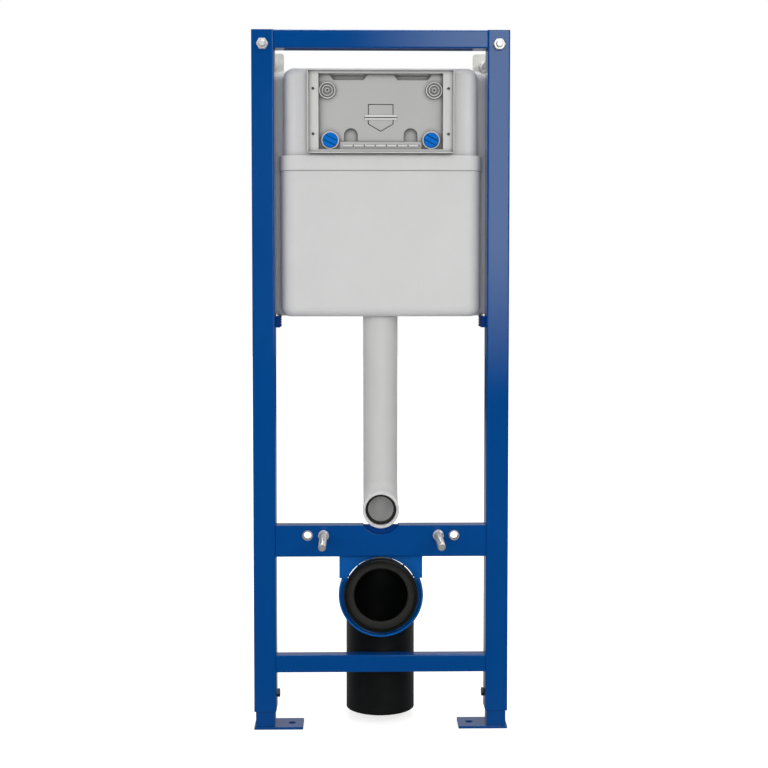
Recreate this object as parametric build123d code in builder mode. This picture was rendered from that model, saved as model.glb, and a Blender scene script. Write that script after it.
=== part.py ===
from build123d import *
import os

# Wall hung toilet frame with a concealed cistern. Millimetres, +Z up, +X to the right as seen from
# the front, +Y from the front of the frame towards the wall. The origin lies on the sole of the left
# foot, on the axis of its floor bolt.

os.makedirs("parts", exist_ok=True)

# Steel frame
frame_width = 400
frame_height = 1095
post_width = 35
post_depth = 40
post_bottom = 28.5
post_corner = 2.5
steel_wall = 2
top_bar_height = 28
top_bar_depth = 32
top_bar_setback = 1
lower_bar_height = 28
lower_bar_depth = 20
lower_bar_lift = 3

# Fixing plate, a channel that carries the pan
plate_height = 50
plate_drop = 74
plate_depth = 22
plate_sheet = 2.5
plate_fold = 3
cradle_radius = 34.5
cradle_drop = 4
saddle_setback = 3
saddle_length = 9
saddle_clearance = 0.2

# Legs and feet
leg_clearance = 0.5
leg_length = 290
leg_corner = 2
foot_width = 77
foot_depth = 45
foot_thickness = 4
foot_corner = 1.5
floor_bolt_hole = 11
floor_bolt_inset = 59
clamp_bolt_size = 8
clamp_bolt_clearance = 0.2
clamp_bolt_tip_gap = 0.3
clamp_bolt_height = 25
clamp_head_flats = 12
clamp_head_height = 5

# Wall rods and brackets
rod_size = 10
rod_drop = 22.5
rod_hole = 11
rod_proud = 12
rod_tip_chamfer = 1
rod_nut_flats = 16
rod_nut_height = 8
wall_distance = 253
bracket_width = 40
bracket_sheet = 3
bracket_above_rod = 22.5
bracket_below_rod = 50
bracket_corner = 4
bracket_screw_hole = 9
bracket_screw_drop = 34
washer_size = 20
washer_thickness = 2

# Pan studs and the threaded inserts beside them
stud_spacing = 180
insert_from_stud = 25
stud_drop = 40
stud_size = 12
stud_core = 10.2
stud_hole = 13
stud_length = 95
stud_tail = 16
stud_tip_chamfer = 1.5
stud_flange = 17
stud_flange_height = 3
stud_nut_flats = 15
stud_nut_height = 8
rear_nut_flats = 19
rear_nut_height = 9
insert_bore = 12
insert_barrel = 14
insert_rim = 16.5
insert_rim_height = 1.2
insert_length = 11

# Cistern tank, a lower tub and an upper hood
tank_height = 388
tank_below_top = 55
tank_side_gap = 7.5
tank_rear_inset = 25
tub_height = 251
tub_front = 12
tub_rear = 130
rear_start = 46
tank_corner = 24
tank_bottom_edge = 15
tank_top_edge = 22
jacket_wall = 4.7
hood_clearance = 0.3
hood_wall = 3
hood_lap = 13
outlet_clearance = 0.3
rim_height = 23
rim_proud = 1.2

# Service window
window_width = 193
window_height = 117
window_rise = 9
tray_side = 17.5
tray_edge = 6
tray_corner = 4.5
tray_rounding = 0.8
tray_front = 1
tray_rim = 1.8
tray_rim_depth = 5
tray_sleeve = 2
tray_clearance = 0.3
ledge_width = 6
ledge_top_width = 1.5
ledge_thickness = 2
screw_spacing_x = 210
screw_spacing_z = 70
screw_hole = 4.5

# Cover plate and its fittings
cover_thickness = 2.5
cover_clearance = 0.3
notch_long = 60
notch_angle = 54
notch_depth = 9
notch_offset = 50
arch_width = 21.5
arch_height = 24
arch_offset = 46.5
arch_rise = 9.5
pocket_depth = 8
pocket_wall = 1.5
rail_width = 127
rail_height = 12
rail_thickness = 3
rail_slots = 7
rail_slot_length = 12
rail_slot_height = 3.5
rail_slot_pitch = 17
tab_width = 40
tab_top_rise = 71
tab_side_rise = 39.5
tab_point_rise = 28
tab_crease_rise = 50
tab_crease_length = 51
groove_width = 1.5
groove_depth = 1.6
boss_radius = 12.8
boss_offset = 83
boss_rise = 91.6
boss_base = 1.5
boss_rim = 4.5
boss_rim_wall = 1.6
boss_ring_radius = 8.5
boss_ring_wall = 1.4
boss_ring = 3.5
boss_rod_radius = 3.6
boss_rod = 6.5
boss_socket = 3.5

# Quarter-turn locks
knob_radius = 11.7
knob_offset = 78.5
knob_rise = 14.5
knob_thickness = 8
knob_gap = 0.3
knob_grip_width = 6.5
knob_grip_angle = -27
knob_groove_width = 1.3
knob_groove_depth = 2
knob_edge = 1
collar_wall = 1.7
collar_height = 6
lock_stem_radius = 4
lock_stem_clearance = 0.05
lock_lug_length = 14
lock_lug_width = 5
lock_lug_thickness = 3

# Tank clips
clip_proud = 7
clip_front = 12
clip_height = 17
clip_grooves = 3
clip_groove_height = 1.6
clip_groove_depth = 1

# Flush pipe
flush_height = 349
flush_size = 55
flush_wall = 3
flush_axis_depth = 57
flush_bend_radius = 45
flush_mouth_front = -1
flush_collar = 57.5
flush_collar_length = 11
flush_collar_edge = 1
flush_spigot = 11
flush_seal_bore = 40
flush_seal_length = 6
flush_seal_inset = 8
seal_clearance = 0.2
seal_lip = 2

# Drain bend
drain_drop = 135
drain_size = 110
drain_wall = 4
drain_axis_depth = 76
drain_bend_radius = 60
drain_bottom = 15
drain_mouth_front = -9
drain_collar = 116
drain_collar_length = 14
drain_collar_edge = 3
drain_socket_wall = 4
drain_socket_depth = 13
drain_seal_bore = 84.5
drain_seal_length = 6

# Drain holder and its clamp
holder_width = 131
holder_front = 10
holder_sheet = 3
holder_bottom_rise = 25
holder_cutout = 58.5
tooth_width = 2.6
tooth_root = 1
tooth_first = 16
tooth_step = 22.5
teeth_per_side = 3
drain_grip_clearance = 0.3
clamp_outer_radius = 66.5
clamp_flange = 3
clamp_flange_depth = 9
clamp_gap = 1.5

# Places worked out from the sizes above
half_width = frame_width / 2
centre = half_width - floor_bolt_inset
front = -foot_depth / 2
post_inner = half_width - post_width
post_x = half_width - post_width / 2
post_mid_depth = post_depth / 2
leg_width = post_width - 2 * steel_wall - 2 * leg_clearance
leg_depth = post_depth - 2 * steel_wall - 2 * leg_clearance
rod_height = frame_height - rod_drop
plate_bottom = flush_height - plate_drop
plate_top = plate_bottom + plate_height
stud_height = flush_height - stud_drop
insert_x = stud_spacing / 2 + insert_from_stud
cradle_height = flush_height - cradle_drop
flush_radius = flush_size / 2
flush_bore = flush_radius - flush_wall
drain_radius = drain_size / 2
drain_height = flush_height - drain_drop
clamp_bottom = drain_height - clamp_outer_radius
lower_bar_bottom = (post_bottom + clamp_bottom) / 2 + lower_bar_lift
drain_socket = drain_collar / 2 - drain_socket_wall
tank_top = frame_height - tank_below_top
tank_bottom = tank_top - tank_height
tub_top = tank_bottom + tub_height
tub_width = 2 * (post_inner - tank_side_gap)
tub_rear_width = frame_width - 2 * tank_rear_inset
hood_seat_height = tub_top - hood_lap
rim_bottom = tub_top - rim_height
window_bottom = tub_top + window_rise
window_mid = window_bottom + window_height / 2
arch_bottom = window_bottom + arch_rise
tab_top = window_bottom + tab_top_rise
tab_side = window_bottom + tab_side_rise
tab_point = window_bottom + tab_point_rise
tab_crease = window_bottom + tab_crease_rise
boss_height = window_bottom + boss_rise
knob_height = window_bottom + knob_rise
tray_width = window_width + 2 * tray_side
tray_height = window_height + 2 * tray_edge
hood_inset = jacket_wall + hood_clearance
cavity_inset = hood_inset + hood_wall
hood_front = tub_front + hood_inset
sleeve_back = hood_front + hood_wall + ledge_thickness
cover_back = sleeve_back - ledge_thickness
cover_front = cover_back - cover_thickness
sides = {"left": -1, "right": 1}


def upright(depth):
    """Plane facing the front at a depth: x runs from the centre line, y is the height."""
    return Plane(origin=(centre, front + depth, 0), x_dir=(1, 0, 0), z_dir=(0, -1, 0))


def level(height):
    """Level plane at a height: x runs from the centre line, y is the depth."""
    return Plane(origin=(centre, front, height))


# Plane square to the bars at the centre line: x is the depth, y is the height
across = Plane(origin=(centre, front, 0), x_dir=(0, 1, 0), z_dir=(1, 0, 0))


def finish(piece, label):
    """Label a finished piece and write it."""
    piece.part.label = label
    export_step(piece.part, f"parts/{label}.step")


def make_foot(name, side):
    """Flat plate with its floor bolt hole, reaching inwards from the frame's outer face."""
    with BuildPart() as foot:
        with BuildSketch(level(0)) as outline:
            with Locations((side * (half_width - foot_width / 2), foot_depth / 2)):
                Rectangle(foot_width, foot_depth)
            fillet(outline.vertices(), foot_corner)
            with Locations((side * (half_width - floor_bolt_inset), foot_depth / 2)):
                Circle(floor_bolt_hole / 2, mode=Mode.SUBTRACT)
        extrude(amount=foot_thickness)
    finish(foot, f"{name}_foot")


def make_leg(name, side):
    """Square tube that stands on the foot and slides in the post."""
    with BuildPart() as leg:
        with BuildSketch(level(foot_thickness)):
            with Locations((side * post_x, post_mid_depth)):
                RectangleRounded(leg_width, leg_depth, leg_corner)
                Rectangle(leg_width - 2 * steel_wall, leg_depth - 2 * steel_wall, mode=Mode.SUBTRACT)
        extrude(amount=leg_length)
    finish(leg, f"{name}_leg")


def make_post(name, side):
    """Square tube, open below for the leg and closed above, drilled for the wall rod and clamp bolt."""
    with BuildPart() as post:
        with BuildSketch(level(post_bottom)):
            with Locations((side * post_x, post_mid_depth)):
                RectangleRounded(post_width, post_depth, post_corner)
        extrude(amount=frame_height - post_bottom)
        with BuildSketch(level(post_bottom)):
            with Locations((side * post_x, post_mid_depth)):
                Rectangle(post_width - 2 * steel_wall, post_depth - 2 * steel_wall)
        extrude(amount=frame_height - post_bottom - steel_wall, mode=Mode.SUBTRACT)
        with BuildSketch(upright(0)):
            with Locations((side * post_x, rod_height)):
                Circle(rod_hole / 2)
        extrude(amount=-post_depth, mode=Mode.SUBTRACT)
        with BuildSketch(across.offset(side * post_inner)):
            with Locations((post_mid_depth, post_bottom + clamp_bolt_height)):
                Circle(clamp_bolt_size / 2 + clamp_bolt_clearance)
        extrude(amount=side * steel_wall, mode=Mode.SUBTRACT)
    finish(post, f"{name}_post")


def make_clamp_bolt(name, side):
    """Bolt through the post's inner wall that holds the leg at its height."""
    shank_length = steel_wall + leg_clearance - clamp_bolt_tip_gap
    with BuildPart() as bolt:
        with BuildSketch(across.offset(side * post_inner)):
            with Locations((post_mid_depth, post_bottom + clamp_bolt_height)):
                RegularPolygon(clamp_head_flats / 2, 6, major_radius=False)
        extrude(amount=-side * clamp_head_height)
        with BuildSketch(across.offset(side * post_inner)):
            with Locations((post_mid_depth, post_bottom + clamp_bolt_height)):
                Circle(clamp_bolt_size / 2)
        extrude(amount=side * shank_length)
    finish(bolt, f"{name}_clamp_bolt")


def make_bar(label, near, bar_depth, bottom, height):
    """Rectangular tube from post to post."""
    with BuildPart() as bar:
        with BuildSketch(across):
            with Locations((near + bar_depth / 2, bottom + height / 2)):
                RectangleRounded(bar_depth, height, post_corner)
                Rectangle(bar_depth - 2 * steel_wall, height - 2 * steel_wall, mode=Mode.SUBTRACT)
        extrude(amount=post_inner, both=True)
    finish(bar, label)


def make_fixing_plate():
    """Folded channel with a cradle under the flush bend and holes for studs and inserts."""
    cut_size = 2 * (cradle_radius + plate_sheet)
    with BuildPart() as plate:
        with BuildSketch(across) as profile:
            with Locations((plate_depth / 2, plate_bottom + plate_height / 2)):
                Rectangle(plate_depth, plate_height)
            fillet(profile.vertices().sort_by(Axis.Y)[:2], plate_fold)
            with Locations((plate_depth / 2 + plate_sheet, plate_bottom + plate_height / 2)):
                Rectangle(plate_depth, plate_height - 2 * plate_sheet, mode=Mode.SUBTRACT)
        extrude(amount=post_inner, both=True)
        with BuildSketch(upright(0)):
            with Locations((0, cradle_height)):
                Circle(cradle_radius + plate_sheet)
        extrude(amount=-plate_depth, mode=Mode.SUBTRACT)
        with BuildSketch(upright(0)):
            with Locations((0, cradle_height)):
                Circle(cradle_radius + plate_sheet)
                Circle(cradle_radius, mode=Mode.SUBTRACT)
            with Locations((0, plate_top)):
                Rectangle(cut_size, cut_size, align=(Align.CENTER, Align.MIN), mode=Mode.SUBTRACT)
        extrude(amount=-plate_depth)
        with BuildSketch(upright(0)):
            with Locations((-stud_spacing / 2, stud_height), (stud_spacing / 2, stud_height)):
                Circle(stud_hole / 2)
            with Locations((-insert_x, stud_height), (insert_x, stud_height)):
                Circle(insert_barrel / 2)
        extrude(amount=-plate_sheet, mode=Mode.SUBTRACT)
    finish(plate, "fixing_plate")


def make_flush_saddle():
    """Crescent between the cradle and the collar of the flush bend, level with the plate's top."""
    cut_size = 2 * cradle_radius
    with BuildPart() as saddle:
        with BuildSketch(upright(saddle_setback)):
            with Locations((0, cradle_height)):
                Circle(cradle_radius - saddle_clearance)
            with Locations((0, flush_height)):
                Circle(flush_collar / 2 + saddle_clearance, mode=Mode.SUBTRACT)
            with Locations((0, plate_top)):
                Rectangle(cut_size, cut_size, align=(Align.CENTER, Align.MIN), mode=Mode.SUBTRACT)
        extrude(amount=-saddle_length)
    finish(saddle, "flush_saddle")


def make_wall_rod(name, side):
    """Rod from in front of the post back to the wall bracket."""
    with BuildPart() as rod:
        with BuildSketch(upright(-rod_proud)):
            with Locations((side * post_x, rod_height)):
                Circle(rod_size / 2)
        extrude(amount=-(rod_proud + wall_distance))
        chamfer(rod.edges().filter_by(GeomType.CIRCLE).sort_by(Axis.Y)[0], rod_tip_chamfer)
    finish(rod, f"{name}_wall_rod")


def make_rod_nuts(name, side):
    """Nuts on the rod, before and behind the post and before the wall bracket with its washer."""
    bracket_front = wall_distance - bracket_sheet
    nut_fronts = (
        -rod_nut_height,
        post_depth,
        bracket_front - washer_thickness - rod_nut_height,
    )
    with BuildPart() as nuts:
        for nut_front in nut_fronts:
            with BuildSketch(upright(nut_front)):
                with Locations((side * post_x, rod_height)):
                    RegularPolygon(rod_nut_flats / 2, 6, major_radius=False)
                    Circle(rod_size / 2, mode=Mode.SUBTRACT)
            extrude(amount=-rod_nut_height)
        with BuildSketch(upright(bracket_front - washer_thickness)):
            with Locations((side * post_x, rod_height)):
                Circle(washer_size / 2)
                Circle(rod_size / 2, mode=Mode.SUBTRACT)
        extrude(amount=-washer_thickness)
    finish(nuts, f"{name}_rod_nuts")


def make_wall_bracket(name, side):
    """Plate that is screwed to the wall and holds the end of the rod."""
    middle = rod_height + (bracket_above_rod - bracket_below_rod) / 2
    with BuildPart() as bracket:
        with BuildSketch(upright(wall_distance - bracket_sheet)):
            with Locations((side * post_x, middle)):
                RectangleRounded(bracket_width, bracket_above_rod + bracket_below_rod, bracket_corner)
            with Locations((side * post_x, rod_height)):
                Circle(rod_hole / 2, mode=Mode.SUBTRACT)
            with Locations((side * post_x, rod_height - bracket_screw_drop)):
                Circle(bracket_screw_hole / 2, mode=Mode.SUBTRACT)
        extrude(amount=-bracket_sheet)
    finish(bracket, f"{name}_wall_bracket")


def make_stud(name, side):
    """Threaded rod that carries the pan, drawn at its thread's core inside the nuts."""
    core_end = plate_sheet + rear_nut_height
    with BuildPart() as stud:
        with BuildSketch(upright(-stud_length)):
            with Locations((side * stud_spacing / 2, stud_height)):
                Circle(stud_size / 2)
        extrude(amount=-(stud_length - stud_nut_height))
        with BuildSketch(upright(-stud_nut_height)):
            with Locations((side * stud_spacing / 2, stud_height)):
                Circle(stud_core / 2)
        extrude(amount=-(stud_nut_height + core_end))
        with BuildSketch(upright(core_end)):
            with Locations((side * stud_spacing / 2, stud_height)):
                Circle(stud_size / 2)
        extrude(amount=-(stud_tail - core_end))
        chamfer(stud.edges().filter_by(GeomType.CIRCLE).sort_by(Axis.Y)[0], stud_tip_chamfer)
    finish(stud, f"{name}_pan_stud")


def make_stud_nuts(name, side):
    """Flanged nut before the fixing plate and plain nut behind its web."""
    with BuildPart() as nuts:
        with BuildSketch(upright(0)):
            with Locations((side * stud_spacing / 2, stud_height)):
                Circle(stud_flange / 2)
                Circle(stud_core / 2, mode=Mode.SUBTRACT)
        extrude(amount=stud_flange_height)
        with BuildSketch(upright(-stud_flange_height)):
            with Locations((side * stud_spacing / 2, stud_height)):
                RegularPolygon(stud_nut_flats / 2, 6, major_radius=False)
                Circle(stud_core / 2, mode=Mode.SUBTRACT)
        extrude(amount=stud_nut_height - stud_flange_height)
        with BuildSketch(upright(plate_sheet)):
            with Locations((side * stud_spacing / 2, stud_height)):
                RegularPolygon(rear_nut_flats / 2, 6, major_radius=False)
                Circle(stud_core / 2, mode=Mode.SUBTRACT)
        extrude(amount=-rear_nut_height)
    finish(nuts, f"{name}_stud_nuts")


def make_insert(name, side):
    """Rimmed threaded bush in the fixing plate."""
    with BuildPart() as insert:
        with BuildSketch(upright(-insert_rim_height)):
            with Locations((side * insert_x, stud_height)):
                Circle(insert_rim / 2)
        extrude(amount=-insert_rim_height)
        with BuildSketch(upright(0)):
            with Locations((side * insert_x, stud_height)):
                Circle(insert_barrel / 2)
        extrude(amount=-(insert_length - insert_rim_height))
        with BuildSketch(upright(-insert_rim_height)):
            with Locations((side * insert_x, stud_height)):
                Circle(insert_bore / 2)
        extrude(amount=-insert_length, mode=Mode.SUBTRACT)
    finish(insert, f"{name}_threaded_insert")


def tank_block(width, near, far, low, high, inset, rounded_end, edge_radius):
    """Block with round upright edges and one round end, 0 for the bottom and -1 for the top."""
    with BuildPart() as block:
        with BuildSketch(level(low)):
            with Locations((0, (near + far) / 2)):
                RectangleRounded(width - 2 * inset, far - near - 2 * inset, tank_corner - inset)
        extrude(amount=high - low)
        if rounded_end is not None:
            fillet(block.faces().sort_by(Axis.Z)[rounded_end].edges(), edge_radius - inset)
    return block.part


def tank_blocks(low, high, inset, rounded_end=None, edge_radius=0):
    """Front body between the posts and wider rear body behind them, drawn in by an inset."""
    front_far = tub_rear - tank_corner
    shape = (low, high, inset, rounded_end, edge_radius)
    front_body = tank_block(tub_width, tub_front, front_far, *shape)
    rear_body = tank_block(tub_rear_width, rear_start, tub_rear, *shape)
    return front_body, rear_body


def make_tank_tub():
    """Lower half of the tank: open above, with a raised rim, a seat for the hood and the outlet."""
    walls = tank_blocks(tank_bottom, tub_top, 0, 0, tank_bottom_edge)
    rims = tank_blocks(rim_bottom, tub_top, -rim_proud)
    cavities = tank_blocks(tank_bottom + cavity_inset, tub_top, cavity_inset, 0, tank_bottom_edge)
    seats = tank_blocks(hood_seat_height, tub_top, jacket_wall)
    with BuildPart() as tub:
        add(walls)
        add(rims)
        add(cavities, mode=Mode.SUBTRACT)
        add(seats, mode=Mode.SUBTRACT)
        with BuildSketch(level(tank_bottom)):
            with Locations((0, flush_axis_depth)):
                Circle(flush_radius + outlet_clearance)
        extrude(amount=cavity_inset, mode=Mode.SUBTRACT)
    finish(tub, "tank_tub")


def make_tank_hood():
    """Upper half of the tank: closed above, with the service window in its front wall."""
    walls = tank_blocks(hood_seat_height, tank_top, hood_inset, -1, tank_top_edge)
    cavities = tank_blocks(hood_seat_height, tank_top - hood_wall, cavity_inset, -1, tank_top_edge)
    sleeve_fit = 2 * (tray_sleeve + tray_clearance)
    with BuildPart() as hood:
        add(walls)
        add(cavities, mode=Mode.SUBTRACT)
        with BuildSketch(upright(hood_front)):
            with Locations((0, window_mid)):
                Rectangle(window_width + sleeve_fit, window_height + sleeve_fit)
        extrude(amount=-tank_corner, mode=Mode.SUBTRACT)
    finish(hood, "tank_hood")


def make_service_frame():
    """Moulded tray round the service window, with a rim, screw flanges and a ledge for the cover."""
    with BuildPart() as frame:
        with BuildSketch(upright(tray_front)):
            with Locations((0, window_mid)):
                RectangleRounded(tray_width, tray_height, tray_corner)
        extrude(amount=-(hood_front - tray_front))
        fillet(frame.faces().sort_by(Axis.Y)[0].edges(), tray_rounding)
        with BuildSketch(upright(hood_front)):
            with Locations((0, window_mid)):
                Rectangle(window_width + 2 * tray_sleeve, window_height + 2 * tray_sleeve)
        extrude(amount=-(sleeve_back - hood_front))
        with BuildSketch(upright(tray_front)):
            with Locations((0, window_mid)):
                Rectangle(tray_width - 2 * tray_rim, tray_height - 2 * tray_rim)
        extrude(amount=-tray_rim_depth, mode=Mode.SUBTRACT)
        with BuildSketch(upright(tray_front)):
            with Locations((0, window_mid)):
                Rectangle(window_width, window_height)
        extrude(amount=-(cover_back - tray_front), mode=Mode.SUBTRACT)
        with BuildSketch(upright(cover_back)):
            with Locations((0, window_bottom + ledge_width)):
                Rectangle(
                    window_width - 2 * ledge_width,
                    window_height - ledge_width - ledge_top_width,
                    align=(Align.CENTER, Align.MIN),
                )
        extrude(amount=-ledge_thickness, mode=Mode.SUBTRACT)
        with BuildSketch(upright(tray_front)):
            with Locations((0, window_mid)):
                with GridLocations(screw_spacing_x, screw_spacing_z, 2, 2):
                    Circle(screw_hole / 2)
        extrude(amount=-(hood_front - tray_front), mode=Mode.SUBTRACT)
    finish(frame, "service_frame")


def arch_outlines(wall):
    """Add both round-topped arches to the sketch that is open, widened all round by a wall."""
    spring_height = arch_bottom + arch_height - arch_width / 2
    for side in sides.values():
        with Locations((side * arch_offset, arch_bottom - wall)):
            Rectangle(
                arch_width + 2 * wall,
                spring_height - arch_bottom + wall,
                align=(Align.CENTER, Align.MIN),
            )
        with Locations((side * arch_offset, spring_height)):
            Circle(arch_width / 2 + wall)


def make_cover_plate():
    """Cover in the service window: notched and arched pockets, rail, pull tab and lock collars."""
    cover_width = window_width - 2 * cover_clearance
    cover_height = window_height - 2 * cover_clearance
    cover_top = window_mid + cover_height / 2
    notch_spots = [(side * notch_offset, cover_top - notch_depth / 2) for side in sides.values()]
    block_spots = [(x, cover_top - notch_depth - pocket_wall) for x, _ in notch_spots]
    with BuildPart() as cover:
        with BuildSketch(upright(cover_front)):
            with Locations((0, window_mid)):
                Rectangle(cover_width, cover_height)
        extrude(amount=-cover_thickness)
        with BuildSketch(upright(cover_back)):
            arch_outlines(pocket_wall)
            with Locations(block_spots):
                Rectangle(
                    notch_long + 2 * pocket_wall,
                    notch_depth + pocket_wall - ledge_top_width,
                    align=(Align.CENTER, Align.MIN),
                )
        extrude(amount=-pocket_depth)
        with BuildSketch(upright(cover_front)):
            arch_outlines(0)
            with Locations(notch_spots):
                Trapezoid(notch_long, notch_depth, notch_angle, rotation=180)
        extrude(amount=-(cover_thickness + pocket_depth - pocket_wall), mode=Mode.SUBTRACT)
        with BuildSketch(upright(cover_front)):
            with Locations((0, window_bottom + cover_clearance + rail_height / 2)):
                Rectangle(rail_width, rail_height)
                with GridLocations(rail_slot_pitch, rail_height, rail_slots, 1):
                    Rectangle(rail_slot_length, rail_slot_height, mode=Mode.SUBTRACT)
        extrude(amount=rail_thickness)
        with BuildSketch(upright(cover_front)) as groove:
            with BuildLine():
                Polyline(
                    (-tab_width / 2, tab_top),
                    (tab_width / 2, tab_top),
                    (tab_width / 2, tab_side),
                    (0, tab_point),
                    (-tab_width / 2, tab_side),
                    close=True,
                )
            make_face()
            offset(amount=-groove_width, mode=Mode.SUBTRACT)
            with Locations((0, tab_crease)):
                Rectangle(tab_crease_length, groove_width)
        extrude(amount=-groove_depth, mode=Mode.SUBTRACT)
        for side in sides.values():
            with BuildSketch(upright(cover_front)):
                with Locations((side * knob_offset, knob_height)):
                    Circle(knob_radius + knob_gap + collar_wall)
            extrude(amount=collar_height)
            with BuildSketch(upright(cover_front)):
                with Locations((side * knob_offset, knob_height)):
                    Circle(knob_radius + knob_gap)
            extrude(amount=collar_height, mode=Mode.SUBTRACT)
            with BuildSketch(upright(cover_front)):
                with Locations((side * knob_offset, knob_height)):
                    Circle(lock_stem_radius + lock_stem_clearance)
            extrude(amount=-cover_thickness, mode=Mode.SUBTRACT)
    finish(cover, "cover_plate")


def make_boss(name, side):
    """Round fitting with two raised rings and a hollow rod, turned about its own axis."""
    axis_plane = Plane(
        origin=(centre + side * boss_offset, front + cover_front, boss_height),
        x_dir=(1, 0, 0),
        z_dir=(0, 0, 1),
    )
    ring_inner = boss_ring_radius - boss_ring_wall
    rim_inner = boss_radius - boss_rim_wall
    with BuildPart() as boss:
        with BuildSketch(axis_plane):
            with BuildLine():
                Polyline(
                    (0, 0),
                    (boss_radius, 0),
                    (boss_radius, -boss_rim),
                    (rim_inner, -boss_rim),
                    (rim_inner, -boss_base),
                    (boss_ring_radius, -boss_base),
                    (boss_ring_radius, -boss_ring),
                    (ring_inner, -boss_ring),
                    (ring_inner, -boss_base),
                    (boss_rod_radius, -boss_base),
                    (boss_rod_radius, -boss_rod),
                    (0, -boss_rod),
                    close=True,
                )
            make_face()
        revolve(axis=Axis((centre + side * boss_offset, front + cover_front, boss_height), (0, 1, 0)))
        with BuildSketch(upright(cover_front - boss_rod)):
            with Locations((side * boss_offset, boss_height)):
                RegularPolygon(boss_socket / 2, 6, major_radius=False)
        extrude(amount=-(boss_rod - boss_base), mode=Mode.SUBTRACT)
    finish(boss, f"{name}_boss")


def make_knob(name, side):
    """Quarter-turn lock: a head with a grip between two grooves, a stem through the cover and a lug."""
    head_back = cover_front - knob_gap
    groove_offset = (knob_grip_width + knob_groove_width) / 2
    with BuildPart() as knob:
        with BuildSketch(upright(head_back)):
            with Locations((side * knob_offset, knob_height)):
                Circle(knob_radius)
        extrude(amount=knob_thickness)
        fillet(knob.edges().filter_by(GeomType.CIRCLE).sort_by(Axis.Y)[0], knob_edge)
        with BuildSketch(upright(head_back - knob_thickness)):
            with Locations((side * knob_offset, knob_height)):
                with PolarLocations(groove_offset, 2, start_angle=knob_grip_angle + 90):
                    Rectangle(knob_groove_width, 2 * knob_radius)
        extrude(amount=-knob_groove_depth, mode=Mode.SUBTRACT)
        with BuildSketch(upright(head_back)):
            with Locations((side * knob_offset, knob_height)):
                Circle(lock_stem_radius)
        extrude(amount=-(cover_thickness + 2 * knob_gap + lock_lug_thickness))
        with BuildSketch(upright(cover_back + knob_gap)):
            with Locations((side * knob_offset, knob_height)):
                SlotOverall(lock_lug_length, lock_lug_width)
        extrude(amount=-lock_lug_thickness)
    finish(knob, f"{name}_lock_knob")


def make_tank_clip(name, side):
    """Grooved block on the post's inner face that carries the rear of the tank."""
    clip_back = rear_start + tank_corner
    with BuildPart() as clip:
        with BuildSketch(upright(clip_front)):
            with Locations((side * (post_inner - clip_proud / 2), tank_bottom - clip_height / 2)):
                Rectangle(clip_proud, clip_height)
                groove_x = -side * (clip_proud - clip_groove_depth) / 2
                with Locations((groove_x, 0)):
                    with GridLocations(clip_proud, clip_height / (clip_grooves + 1), 1, clip_grooves):
                        Rectangle(clip_groove_depth, clip_groove_height, mode=Mode.SUBTRACT)
        extrude(amount=-(clip_back - clip_front))
    finish(clip, f"{name}_tank_clip")


def bent_bar(axis_depth, bend_radius, upright_end, mouth_height, mouth_front, radius, mode):
    """Round bar from an upright end round a right-angle bend to a mouth at the front."""
    turn = 1 if upright_end < mouth_height else -1
    bend_height = mouth_height - turn * bend_radius
    bend_depth = axis_depth - bend_radius
    with BuildSketch(level(upright_end)) as upright_section:
        with Locations((0, axis_depth)):
            Circle(radius)
    with BuildSketch(level(bend_height)) as bend_section:
        with Locations((0, axis_depth)):
            Circle(radius)
    with BuildSketch(upright(mouth_front)) as mouth_section:
        with Locations((0, mouth_height)):
            Circle(radius)
    bend_axis = Axis((centre, front + bend_depth, bend_height), (turn, 0, 0))
    extrude(upright_section.sketch, amount=bend_height - upright_end, mode=mode)
    revolve(bend_section.sketch, axis=bend_axis, revolution_arc=90, mode=mode)
    extrude(mouth_section.sketch, amount=mouth_front - bend_depth, mode=mode)


def make_flush_pipe():
    """Pipe from the tank's outlet down and round to its mouth, with a collar at the mouth."""
    pipe_top = tank_bottom + flush_spigot
    collar_front = front + flush_mouth_front
    with BuildPart() as pipe:
        bent_bar(
            flush_axis_depth,
            flush_bend_radius,
            pipe_top,
            flush_height,
            flush_mouth_front,
            flush_radius,
            Mode.ADD,
        )
        with BuildSketch(upright(flush_mouth_front)):
            with Locations((0, flush_height)):
                Circle(flush_collar / 2)
        extrude(amount=-flush_collar_length)
        front_edges = pipe.edges().filter_by_position(Axis.Y, collar_front, collar_front)
        fillet(front_edges.sort_by(SortBy.RADIUS)[-1], flush_collar_edge)
        bent_bar(
            flush_axis_depth,
            flush_bend_radius,
            pipe_top,
            flush_height,
            flush_mouth_front,
            flush_bore,
            Mode.SUBTRACT,
        )
    finish(pipe, "flush_pipe")


def make_seal(label, height, near, radius, bore, length):
    """Rubber ring in a pipe's mouth with its lip led in at the front."""
    with BuildPart() as seal:
        with BuildSketch(upright(near)):
            with Locations((0, height)):
                Circle(radius)
        extrude(amount=-length)
        with BuildSketch(upright(near)):
            with Locations((0, height)):
                Circle(bore)
        extrude(amount=-length, mode=Mode.SUBTRACT)
        bore_edges = seal.edges().filter_by(GeomType.CIRCLE).sort_by(SortBy.RADIUS)[:2]
        chamfer(bore_edges.sort_by(Axis.Y)[0], seal_lip)
    finish(seal, label)


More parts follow.
